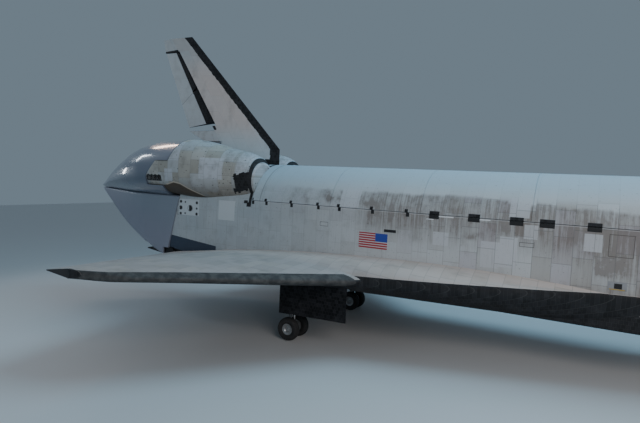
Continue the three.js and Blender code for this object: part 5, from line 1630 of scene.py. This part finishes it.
class BayDoors(bpy.types.Operator):
    """Payload bay doors with their radiators"""

    bl_idname = "orbiter.bay_doors"
    bl_label = "Bay doors"

    def execute(self, context):
        look = colours()
        finish = blankets(look, "door blanket", "door")
        silver = radiator_metal()
        inner = ROOF_RADIUS - DOOR_THICK
        foot = math.asin((SILL + REST_GAP - ROOF_CENTRE) / inner)
        head = math.pi / 2 - RUN_GAP / 2 / ROOF_RADIUS
        for side, word in SIDES:
            node = f"payload_bay_door_{word}"
            whole = arc_outline(side, ROOF_RADIUS, inner, foot, head)
            rings = [station(BAY_FRONT + RUN_GAP, *whole.T)]
            for xo in DOOR_SEAMS:
                for offset, depth in ((-0.5, 0.0), (-0.42, 0.9), (0.42, 0.9), (0.5, 0.0)):
                    outline = arc_outline(side, ROOF_RADIUS - depth, inner, foot, head)
                    rings.append(station(xo + offset, *outline.T))
            rings.append(station(BAY_REAR - RUN_GAP, *whole.T))
            door = tube(f"bay_door_skin_{word}", rings)
            dress(door, finish, node, [node])
            step = (head - foot) / 14
            under = inner - REST_GAP
            outline = arc_outline(side, under, under - 2, foot + step, head - step)
            panels = [
                strip("panel", outline, (start + 0.5, start + RADIATOR_LENGTH - 0.5))
                for start in RADIATOR_FRONT + RADIATOR_LENGTH * np.arange(4)
            ]
            radiators = joined(f"radiator_panels_{word}", panels)
            dress(radiators, silver, node, [f"radiator_{word}"])
            start, end = head - step * 0.72, head - step * 0.3
            outline = arc_outline(side, inner - 0.01, inner - 3.2, start, end, 8)
            latches = [strip("latch", outline, (xo, xo + 6)) for xo in np.arange(620, 1290, 44.0)]
            metal_finish = metal("latch metal", (0.4, 0.4, 0.4), 0.4, 0.3, 0.6)
            dress(joined(f"door_latches_{word}", latches), metal_finish, node)
        return {"FINISHED"}


# Hinge of the body flap, and where its arms stand
FLAP_HINGE = (1532, 287)
FLAP_ARMS = (-84, -28, 28, 84)


def cone_front(gap):
    """The space ahead of the tail cone's front edge, where it meets the pods."""
    outline = [
        (1300, 700), (1411 + gap, 700), (1511 + gap, 498 + gap), (1551 + gap, 498 + gap), (1584 + gap, 465),
        (1584 + gap, 442 - gap), (1530 + gap, 442 - gap), (1530 + gap, 300), (1300, 300),
    ]
    return side_prism("cone_front", outline, -220, 220)


class AftBody(bpy.types.Operator):
    """Aft fuselage, engine pods and body flap"""

    bl_idname = "orbiter.aft_body"
    bl_label = "Aft body"

    def execute(self, context):
        look = colours()
        hull = blankets(look, "aft blanket", "aft")
        body = body_tube("aft_skin", AFT_BODY, np.linspace(BAY_REAR, 1545, 60))
        low, high = (1505 + (SILL - zo) * 0.242 for zo in (200, 620))
        carve(body, side_prism("after", [(low, 200), (high, 620), (2000, 620), (2000, 200)], -200, 200))
        carve(body, block("flap_room", (1522.05, 1600), (-200, 200), (200, 296.95)))
        for y in (-94, 94):
            carve(body, block("attach", (1315, 1329), (y - 6, y + 6), (200, 273)))
        arms = [lug("arm", 1512, FLAP_HINGE, (y - 2, y + 2), 4.4, 4.6) for y in FLAP_ARMS]
        dress(body, hull, replaces=["aft_fuselage"])
        steel = metal("arm metal", (0.35, 0.35, 0.34), 0.45, 0.3, 0.5)
        dress(joined("flap_arms", arms), steel)
        self.pods(look)
        self.flap(look)
        return {"FINISHED"}

    def pods(self, look):
        finish = pod_felt(look)
        front = ENGINE_POD[0, 0] + np.linspace(0, 1, 12, endpoint=False) ** 2 * 35
        xo = np.concatenate([front, np.linspace(1343, 1600, 40)])
        inner, outer, bottom, top, power = smooth_rows(ENGINE_POD, xo).T[:, :, None]
        angle = round_angles(96)[None, :]
        y = (inner + outer) / 2 + (outer - inner) / 2 * signed_power(np.cos(angle), 2 / power)
        zo = (bottom + top) / 2 + (top - bottom) / 2 * signed_power(np.sin(angle), 2 / power)
        for side, word in SIDES:
            pod = tube(f"engine_pod_skin_{word}", station(xo[:, None], side * y, zo))
            carve(pod, cone_front(0.0), "INTERSECT")
            row = (1538.5, 1551, 1563.5, 1576)
            cups, linings = thrusters([station(x, [side * 147.6, side * 138], 458.2) for x in row], 5.2, 6)
            carve(pod, cups)
            dress(pod, finish, replaces=[f"engine_pod_{word}"])
            dress(linings, metal("pod thruster", (0.2, 0.2, 0.2), 0.4, metallic=0.6))
            linings.name = f"pod_thrusters_{word}"

    def flap(self, look):
        angle = np.linspace(0.5 * np.pi, 1.5 * np.pi, 28)
        xo, zo = FLAP_HINGE

        def ring(y, end):
            nose = station(xo + 9.5 * np.cos(angle), y, zo + 9.5 * np.sin(angle))
            return np.concatenate([nose, station([1613, 1613], end, [zo - 1, zo + 1])])

        flap = tube("body_flap_skin", [ring(-115, -111), ring(115, 111)])
        slots = [block("slot", (1512, 1539), (y - 2.45, y + 2.45), (267, 307)) for y in FLAP_ARMS]
        carve(flap, joined("slots", slots))
        pins = [pin("pin", xo, y, zo, 6, 2) for y in FLAP_ARMS]
        flap = joined("body_flap_skin", [flap, *pins])
        dress(flap, black_tiles(look, "flap tile"), "body_flap", ["body_flap"])


class TailCone(bpy.types.Operator):
    """The ferry tail cone's two shells"""

    bl_idname = "orbiter.tail_cone"
    bl_label = "Tail cone"

    def execute(self, context):
        look = colours()
        upper = body_tube("cone_upper_skin", CONE_UPPER, np.linspace(1470, 1930, 90))
        carve(upper, block("below", (1400, 2000), (-200, 200), (300, SILL + REST_GAP)))
        carve(upper, cone_front(0.3))
        dress(upper, cone_paint(look), replaces=["tail_cone_upper"])
        lower = body_tube("cone_lower_skin", CONE_LOWER, np.linspace(1495, 1925, 80))
        ahead = [(1300, 200), (1558.26, 200), (1456.62, 620), (1300, 620)]
        carve(lower, side_prism("ahead", ahead, -200, 200))
        carve(lower, block("notch", (1400, 1551), (-200, 200), (200, 296.45)))
        room = [(1400, 180), (1400, 297.5), (1530, 297.5), (1618, 306.5), (1618, 180)]
        carve(lower, side_prism("room", room, -116.5, 116.5))
        dress(lower, cone_side_paint(look), replaces=["tail_cone_lower"])
        return {"FINISHED"}


def rudder_slice(piece):
    """Keeps what lies between the level head and the foot, which rises forwards to the hinge."""
    foot = [(xo, RUDDER_FOOT + (1594 - xo) * 0.129) for xo in (1400, 1800)]
    outline = [*foot, (1800, RUDDER_HEAD), (1400, RUDDER_HEAD)]
    return carve(piece, side_prism("level", outline, -80, 80), "INTERSECT")


class Tail(bpy.types.Operator):
    """Fin, rudder fairing, speed brake panels and parachute housing"""

    bl_idname = "orbiter.tail"
    bl_label = "Tail"

    def execute(self, context):
        look = colours()
        self.fin(look)
        self.fairing(look)
        for side, word in SIDES:
            self.panel(side, word, rudder_tiles(look))
        self.housing(look)
        return {"FINISHED"}

    def fin(self, look):
        blade = fin_blade("fin_skin")
        head = RUDDER_HEAD + HEAD_GAP
        foot = FIN_FOOT
        outline = [(rudder_hinge(foot), foot), (rudder_hinge(head), head), (1760, head), (1760, foot)]
        carve(blade, side_prism("behind", outline, -40, 40))
        hollow = tube("hollow", [core_ring(zo, fin_half(zo) + RUN_GAP, 30) for zo in (559.0, 803.1)])
        level = block("level", (1300, 1800), (-60, 60), (foot, head))
        carve(blade, carve(hollow, level, "INTERSECT"))
        carve(blade, block("cone_room", (1476, 1700), (-60, 60), (400, CONE_TOP)))
        carve(blade, hinge_bar("bore", RUDDER_FOOT - 30, FIN_FOOT + 4, BORE_RADIUS))
        rings = []
        for zo in (head, FIN_TIP):
            hinge, end = rudder_hinge(zo), 1684 + 0.235 * (zo - RUDDER_HEAD)
            half = fin_half(zo)
            x = np.array([hinge - 4, end, end, hinge - 4])
            rings.append(station(x, np.array([half * 0.98, 1.2, -1.2, -half * 0.98]), zo))
        tip = rounded(tube("tip", rings), 0.3)
        dress(weld(blade), fin_tiles(look), replaces=["fin"])
        dress(tip, fin_tiles(look))
        tip.name = "fin_tip_skin"

    def fairing(self, look):
        ends = (RUDDER_FOOT - 30, RUDDER_HEAD + 60)
        rings = [core_ring(zo, fin_half(zo) - 0.3, fairing_reach(zo)) for zo in ends]
        fairing = rudder_slice(tube("fairing", rings))
        slot = (RUDDER_SPLIT - 3, RUDDER_SPLIT + 3)
        carve(fairing, leaning_block("slot", slot, (-30, 60), (-30, 30)))
        pins = [hinge_bar("pin", 679, 689, 2), hinge_bar("pin", 568, 605, 2)]
        fairing = joined("rudder_fairing_skin", [fairing, *pins])
        black = black_tiles(look, "fairing tile", True)
        dress(fairing, black, "rudder", ["rudder_hinge_fairing"])

    def panel(self, side, word, finish):
        def arc(near, start, end):
            angle = np.linspace(start, end, 10)
            return near * np.cos(angle), near * np.sin(angle)

        rings = []
        for zo in (RUDDER_FOOT - 30, RUDDER_HEAD + 80):
            near = fairing_reach(zo) + RUN_GAP
            half = (fin_half(zo) - 0.3) * REAR_SHARE
            aft, y = arc(near, math.asin(RUN_GAP / 2 / near), math.asin(half / near))
            aft = np.concatenate([aft, [rudder_reach(zo), rudder_reach(zo)]])
            y = np.concatenate([y, [1.4, RUN_GAP / 2]])
            rings.append(rudder_point(zo, aft, side * y))
        blade = rudder_slice(tube("blade", rings))
        middle = RUDDER_SPLIT + side * 1.3
        rings = []
        for zo in (middle - 1, middle + 1):
            near = fairing_reach(zo)
            half = (fin_half(zo) - 0.3) * REAR_SHARE - 0.4
            angle = np.linspace(0.5 * np.pi, 1.5 * np.pi, 16)
            aft = np.concatenate([4.5 * np.cos(angle), [near - 4, near + 4, near + 4, near - 4]])
            y = np.concatenate([4.5 * np.sin(angle), [-0.2, RUN_GAP, half - 0.6, half]])
            rings.append(rudder_point(zo, aft, side * y))
        arm = carve(tube("arm", rings), hinge_bar("bore", 674, 694, BORE_RADIUS))
        name = f"speed_brake_{word}"
        dress(joined(f"{name}_skin", [blade, arm]), finish, name, [name])

    def housing(self, look):
        foot, head = CONE_TOP, RUDDER_FOOT - 9.5
        rings = []
        for side in (-1, 1):
            xo = [rudder_hinge(foot) + 6.024, 1532, 1594.5, rudder_hinge(head) + 6.024]
            y = [side * half for half in (fin_half(foot), fin_half(foot) * 0.85, 1.2, fin_half(head))]
            rings.append(station(xo, y, [foot, foot, head, head]))
        case = rounded(tube("parachute_housing_skin", rings), 1.2, 3)
        paint = Paint("housing white")
        tint = paint.step(paint.noise(14, detail=5), 0.45, 0.7)
        colour = paint.mix(tint * 0.6, look.white, look.white_aged)
        # The upward faces, under the rudder's foot, are painted black: a painted shade
        colour = paint.mix(paint.up_facing > 0.6, colour, look.black)
        dress(case, paint.finish(colour, 0.7), replaces=["parachute_housing"])


class Wings(bpy.types.Operator):
    """Wings, their leading edge shells and the elevons"""

    bl_idname = "orbiter.wings"
    bl_label = "Wings"

    def execute(self, context):
        look = colours()
        finish = wing_tiles(look)
        grey = carbon(look)
        for side, word in SIDES:
            root = wing_part("root", side, ROOT_SPAN, 0.0)
            stretch = sorted((side * MAIN_WELL["inner"], side * MAIN_WELL["outer"]))
            ends = (MAIN_WELL["front"], MAIN_WELL["rear"])
            carve(root, block("well", ends, stretch, (200, MAIN_WELL["roof"])))
            span = np.append(np.linspace(EDGE_SPAN[0], 440, 17), [444, 448, 453, 457, 461, EDGE_SPAN[1]])
            middle = wing_part("middle", side, span, np.interp(span, *EDGE_DEPTHS.T)[:, None])
            tip = wing_part("tip", side, TIP_SPAN, 0.0)
            y = sorted(side * v for v in (ELEVON_SPLIT - 1, ELEVON_SPLIT + 1))
            arm = lug("arm", HINGE_XO - 20, (HINGE_XO, hinge_at(ELEVON_SPLIT)[0]), y, 6, 6)
            dress(joined(f"wing_skin_{word}", [root, middle, tip, arm]), finish, replaces=[f"wing_{word}"])
            shells = edge_panels(f"leading_edge_shells_{word}", side)
            dress(shells, grey, replaces=[f"wing_leading_edge_{word}"])
            for span, place in (((120.5, 311), "inboard"), ((314, 466), "outboard")):
                name = f"{place}_elevon_{word}"
                dress(elevon(f"{name}_skin", side, *span), finish, name, [name])
        return {"FINISHED"}


def tyre_shape(name, spec, centre):
    """A tyre about an axle. Its half width at radius r above the widest place w is
    half (1 - ((r - w) / (outer - w))**2.8)**(1 / 2.8), drawn in below it, with grooves in the tread."""
    outer, half = spec["radius"], spec["half"]
    inner = spec["rim"] + REST_GAP
    wide = inner + (outer - inner) * 0.5
    turn = np.linspace(0, np.pi, 61)
    along = -half * np.sign(np.cos(turn)) * np.abs(np.cos(turn)) ** (2 / 2.8)
    radius = wide + (outer - wide) * np.sin(turn) ** (2 / 2.8)
    for groove in (-0.45, -0.15, 0.15, 0.45):
        radius -= 0.45 * np.exp(-(((along / half - groove) / 0.045) ** 4)) * (radius > wide + 1)
    foot = np.linspace(1, 0, 8)[:-1]
    low = inner + (wide - inner) * (1 - foot)
    side = half * (1 - 0.28 * foot**2)
    profile = np.concatenate([
        np.stack([low, -side], axis=-1), np.stack([radius, along], axis=-1),
        np.stack([low[::-1], side[::-1]], axis=-1),
    ])
    return turned(name, profile, centre)


# A wheel's face from its hub to its rim, in shares of the rim's radius and the tyre's half width
WHEEL_FACE = (
    (0.02, 0.35), (0.16, 0.4), (0.24, 0.4), (0.3, 0.26), (0.52, 0.22), (0.62, 0.5), (0.74, 0.6),
    (0.93, 0.62), (0.94, 0.69), (0.985, 0.7), (1, 0.68),
)
# Its two rings of bolts in the same shares: ring, turn in radians, half length, radius, sides
WHEEL_BOLTS = (("bolt", 0.42, 0, 0.32, 0.045, 12), ("nut", 0.84, 0.2, 0.66, 0.028, 8))


def wheel_shape(spec, centre, bolts):
    """A wheel's turned rim and web, with a hub cap and rings of bolts on both faces."""
    rim, half = spec["rim"], spec["half"]
    profile = [(rim * r, -half * a) for r, a in WHEEL_FACE]
    profile += [(rim * r, half * a) for r, a in reversed(WHEEL_FACE)]
    pieces = [turned("wheel", profile, centre)]
    xo, y, zo = centre
    for k in range(bolts):
        a = 2 * math.pi * k / bolts
        for word, ring, turn, reach, thick, sides in WHEEL_BOLTS:
            x, z = xo + rim * ring * math.cos(a + turn), zo + rim * ring * math.sin(a + turn)
            pieces.append(pin(word, x, y, z, half * reach, rim * thick, sides))
    return pieces


# Gear doors: the well's side, thickness, corners (xo, zo) and the count of pockets inside
GEAR_DOORS = (
    ("nose", NOSE_WELL["half"], 1.6, ((303, 301), (399, 292), (399, 258), (303, 268)), 5),
    ("main", MAIN_WELL["outer"], 1.8, ((1046, 292), (1187, 292), (1187, 214), (1046, 219)), 6),
)


def bands(xo, y, heights, radius, thick):
    """Raised rings round a leg."""
    return [hoop("band", station(xo, y, zo), (0.05, 0, 1), radius, thick, 48) for zo in heights]


def torque_links(xo, y, top, knee, foot, spread, radius, pivot):
    """The pairs of links from a leg to its knee and on to its foot, and the knee's pivot of the given
    half length and radius. Places are (distance aft of the leg, zo)."""
    links = []
    for upper, lower in ((top, knee), (knee, foot)):
        for v in (-spread, spread):
            start, end = (xo + upper[0], y + v, upper[1]), (xo + lower[0], y + v / 2, lower[1])
            links.append(bar("link", start, end, radius, 16))
    return [*links, pin("pivot", xo + knee[0], y, knee[1], *pivot, 20)]


class Gear(bpy.types.Operator):
    """Legs, wheels, tyres and gear doors"""

    bl_idname = "orbiter.gear"
    bl_label = "Gear"

    def execute(self, context):
        look = colours()
        finishes = {
            "paint": metal("gear paint", (0.6, 0.61, 0.61), 0.4, 0.4),
            "bright": metal("polished leg", (0.75, 0.75, 0.76), 0.12, 0.1, 1.0),
            "wheel": metal("wheel metal", (0.42, 0.43, 0.44), 0.35, 0.4, 0.8),
            "line": plain("hose black", (0.02, 0.02, 0.022), 0.45),
            "rubber": rubber(),
        }
        tile = black_tiles(look, "gear door tile", True)
        self.nose(finishes)
        for side, word in SIDES:
            self.main(side, word, finishes)
            self.doors(side, word, tile)
        return {"FINISHED"}

    def wheels(self, kind, skin, body, spec, middle, ends, sizes, finishes):
        """An axle with a wheel and a tyre round each of its (y, name) ends, on the wheels' own body."""
        xo, y, zo = middle
        radius, bolts = sizes
        pieces = [pin("axle", xo, y, zo, spec["offset"], radius)]
        for aside, word in ends:
            pieces += wheel_shape(spec, (xo, aside, zo), bolts)
            tyre = tyre_shape(f"{kind}_tyre_shape_{word}", spec, (xo, aside, zo))
            dress(tyre, finishes["rubber"], body, [f"{kind}_tyre_{word}"])
        dress(joined(skin, pieces), finishes["wheel"], body, [body])

    def nose(self, finishes):
        xo, zo = NOSE_GEAR_XO, NOSE_AXLE_ZO
        roof = NOSE_WELL["roof"] - REST_GAP
        wall = NOSE_WELL["half"] - REST_GAP
        around = [
            post("cylinder", xo, 0, (roof, 252), 5.4),
            bar("brace", (xo - 4, 0, 266), (xo - 48, 0, roof - 2), 2.2),
            pin("knuckle", xo - 5, 0, 266, 3, 3.1, 24),
        ]
        for piece in around:
            carve(piece, post("bore", xo, 0, (240, 276), 3.66, 40))
        leg = joined("nose_leg_skin", [
            *around,
            pin("trunnion", xo, 0, 304, wall, 3.2),
            pin("hub", xo, 0, 304, 9, 5.2, 40),
            block("foot", (xo - 56, xo - 42), (-4.5, 4.5), (roof - 7, roof)),
            *bands(xo, 0, (253, 262, 283, 292), 5.3, 0.55),
        ])
        dress(leg, finishes["paint"], replaces=["nose_gear_leg"])
        path = [(xo + 5.6, 2.2, 300), (xo + 6.6, 2.6, 285), (xo + 6.2, 2.8, 268), (xo + 5.9, 2.6, 256)]
        dress(hose("nose_leg_hose", path, 0.45), finishes["line"])
        piston = post("nose_piston", xo, 0, (275, zo + 2), 3.6)
        carve(piston, pin("bore", xo, 0, zo, 6, 2.45))
        dress(piston, finishes["bright"], "nose_steering")
        fork = joined("fork", [
            pin("collar", xo, 0, zo, 3.8, 4.6, 40),
            post("steering", xo, 0, (251.4, 246), 6),
            post("ring", xo, 0, (zo + 8, zo + 5), 4.4, 40),
        ])
        carve(fork, pin("bore", xo, 0, zo, 6, 2.45))
        links = torque_links(xo, 0, (4.5, 244.5), (12, 236), (4.2, 224.8), 1.6, 0.75, (2, 1.2))
        fork = joined("nose_fork_skin", [fork, *links])
        dress(fork, finishes["paint"], "nose_steering", ["nose_gear_fork"])
        ends = [(side * NOSE_TYRE["offset"], word) for side, word in SIDES]
        body = "nose_wheels"
        self.wheels("nose", f"{body}_skin", body, NOSE_TYRE, (xo, 0, zo), ends, (2.4, 8), finishes)

    def main(self, side, word, finishes):
        xo, y, zo = MAIN_XO, side * MAIN_GEAR_Y, MAIN_AXLE_ZO
        roof = MAIN_WELL["roof"] - REST_GAP
        walls = [side * (MAIN_WELL["inner"] + REST_GAP), side * (MAIN_WELL["outer"] - REST_GAP)]
        leg = joined("leg", [
            post("cylinder", xo, y, (roof, 222), 6),
            pin("collar", xo, y, zo, 6.5, 5.6, 48),
            bar("brace", (xo - 3, y, 240), (xo - 66, y, roof - 2), 2.6),
            bar("trunnion", (xo, walls[0], 296), (xo, walls[1], 296), 4),
            pin("hub", xo, y, 296, 10, 6.4, 40),
            pin("knuckle", xo - 5, y, 240.5, 3.6, 3.8, 24),
            block("foot", (xo - 74, xo - 58), (y - 5, y + 5), (roof - 8, roof)),
        ])
        carve(leg, pin("bore", xo, y, zo, 9, 3.05))
        links = torque_links(xo, y, (5, 230), (13.5, 214), (5, 195), 2.2, 0.9, (2.8, 1.4))
        leg = joined(f"main_leg_skin_{word}", [leg, *bands(xo, y, (223, 232, 262, 284), 5.9, 0.6), *links])
        dress(leg, finishes["paint"], replaces=[f"main_gear_leg_{word}"])
        piston = post(f"main_piston_{word}", xo, y, (224, zo + 3), 4.2)
        carve(piston, pin("bore", xo, y, zo, 9, 3.05))
        dress(piston, finishes["bright"])
        hoses = []
        for v in (-3.4, 3.4):
            run = ((6.2, 290), (6.9, 262), (6.4, 238), (8.5, 222), (7.4, 204))
            path = [(xo + aft, y + v, up) for aft, up in run] + [(xo + 5.4, y + v * 1.2, 190)]
            hoses.append(hose("hose", path, 0.5))
        dress(joined(f"main_leg_hoses_{word}", hoses), finishes["line"])
        body = f"main_wheels_{word}"
        out = side * MAIN_TYRE["offset"]
        ends = [(y - out, f"inner_{word}"), (y + out, f"outer_{word}")]
        skin = f"main_wheels_skin_{word}"
        self.wheels("main", skin, body, MAIN_TYRE, (xo, y, zo), ends, (3, 12), finishes)

    def doors(self, side, word, tile):
        for place, edge, thick, corners, bays in GEAR_DOORS:
            wall = edge - REST_GAP
            plate = side_prism("plate", corners, side * wall, side * (wall - thick))
            a, b, c, d = np.array(corners, dtype=float)
            for k in range(bays):
                s0, s1 = (k + 0.08) / bays, (k + 0.92) / bays
                pocket = [
                    (1 - t) * ((1 - s) * a + s * b) + t * ((1 - s) * d + s * c)
                    for s, t in ((s0, 0.08), (s1, 0.08), (s1, 0.92), (s0, 0.92))
                ]
                deep = side * (wall - thick + 0.9)
                carve(plate, side_prism("pocket", pocket, deep, side * (wall - thick - 2)))
            plate.name = f"{place}_gear_door_skin_{word}"
            dress(plate, tile, replaces=[f"{place}_gear_door_{word}"])


# Plates on the sides of the middle body: xo, zo, how far each stands proud, and its finish
SIDE_PLATES = (
    *(("plate", xo, (414.6, 419.9), 0.35, "black") for xo in SILL_PLATES),
    ("vent", (983, 1006), (382, 387), 0.3, "black"),
    ("light_bar", (882, 907), (417.0, 418.8), 0.5, "white"),
    ("light_bar", (822, 839), (417.0, 418.8), 0.5, "white"),
    ("light_bar", (916, 929), (411.4, 412.8), 0.5, "white"),
    ("port_frame", (627, 651), (330.7, 342.7), 0.3, "grey"),
    ("port_dark", (633, 643), (333, 340.7), 0.45, "black"),
    ("port_line", (629, 649), (331.2, 332.4), 0.45, "yellow"),
)
# Ports of the service plate: xo, zo and radius
SERVICE_PORTS = (
    (1501, 406.5, 3.4), (1501, 392.5, 5.0), (1501, 379.5, 3.2), (1474, 392.7, 7.4), (1455, 406, 3.4),
    (1455, 393, 2.4), (1455, 380.5, 3.4), (1488, 406, 2.0), (1488, 380.5, 2.0),
)


class SideDetails(bpy.types.Operator):
    """Hinge covers, panels, flag panels and the service plate on the body's sides"""

    bl_idname = "orbiter.side_details"
    bl_label = "Side details"

    def execute(self, context):
        finishes = {
            "black": plain("cover black", (0.012, 0.012, 0.013), 0.5),
            "white": plain("cover white", (0.78, 0.8, 0.82), 0.6),
            "grey": metal("cover grey", (0.3, 0.31, 0.33), 0.5),
            "yellow": plain("line yellow", (0.5, 0.34, 0.03), 0.5),
            "hull": plain("cover blanket", (0.56, 0.62, 0.66), 0.7),
        }
        for side, word in SIDES:
            groups = {}
            for name, xo, zo, proud, finish in SIDE_PLATES:
                groups.setdefault(finish, []).append(side_plate(name, side, xo, zo, proud, steps=2))
            for finish, plates in groups.items():
                piece = rounded(joined(f"side_{finish}_{word}", plates), 0.12, 1)
                dress(piece, finishes[finish])
            flag = side_plate(f"flag_panel_{word}", side, (998.5, 1055), (FLAG_FOOT, 378.1), 0.12, 0.3)
            dress(flag, flag_stripes())
            self.aft(side, word, finishes)
        return {"FINISHED"}

    def aft(self, side, word, finishes):
        cover = side_plate(f"aft_cover_{word}", side, (1352, 1395), (373, 416), 0.3, 0.5, AFT_BODY)
        dress(cover, finishes["hull"])
        plate = side_plate(f"service_plate_{word}", side, (1449, 1506), (376, 413), 0.5, 0.5, AFT_BODY)
        dress(rounded(plate, 0.2, 1), finishes["hull"])
        knob = side_plate(f"pod_knob_{word}", side, (1320, 1329), (413.5, 419.5), 1.2, 0.5, AFT_BODY)
        dress(rounded(knob, 0.5), finishes["black"])
        rims, floors = [], []
        for xo, zo, radius in SERVICE_PORTS:
            y = float(reach_at(AFT_BODY, xo, zo)) + 0.5
            bore, deep, proud = radius * 0.88, -0.3 * side, 0.6 * side
            rim = [(bore, deep), (bore, proud), (radius, proud), (radius, deep)]
            rims.append(turned("rim", rim, (xo, side * y, zo), 48))
            start, end = ((xo, side * (y + out), zo) for out in (-0.3, 0.2))
            floors.append(bar("floor", start, end, radius * 0.9, 40))
        dress(joined(f"service_rims_{word}", rims), finishes["grey"])
        dress(joined(f"service_ports_{word}", floors), finishes["black"])


class OrbiterPanel(bpy.types.Panel):
    """The orbiter's pieces, in the order they are made"""

    bl_idname = "VIEW3D_PT_orbiter"
    bl_label = "Orbiter"
    bl_space_type = "VIEW_3D"
    bl_region_type = "UI"
    bl_category = "Orbiter"

    def draw(self, context):
        for operator in OPERATORS:
            self.layout.operator(operator.bl_idname)


OPERATORS = (
    ForwardBody, MiddleBody, BayDoors, AftBody, TailCone, Tail, Wings, Gear, SideDetails, Stage,
)
CLASSES = (OrbiterFinish, OrbiterView, *OPERATORS, OrbiterPanel)


def register():
    for cls in CLASSES:
        bpy.utils.register_class(cls)
    bpy.types.Scene.orbiter_finish = PointerProperty(type=OrbiterFinish)
    bpy.types.Scene.orbiter_view = PointerProperty(type=OrbiterView)


def unregister():
    del bpy.types.Scene.orbiter_view
    del bpy.types.Scene.orbiter_finish
    for cls in reversed(CLASSES):
        bpy.utils.unregister_class(cls)


def main():
    register()
    for operator in OPERATORS:
        group, name = operator.bl_idname.split(".")
        getattr(getattr(bpy.ops, group), name)()


if __name__ == "__main__":
    main()
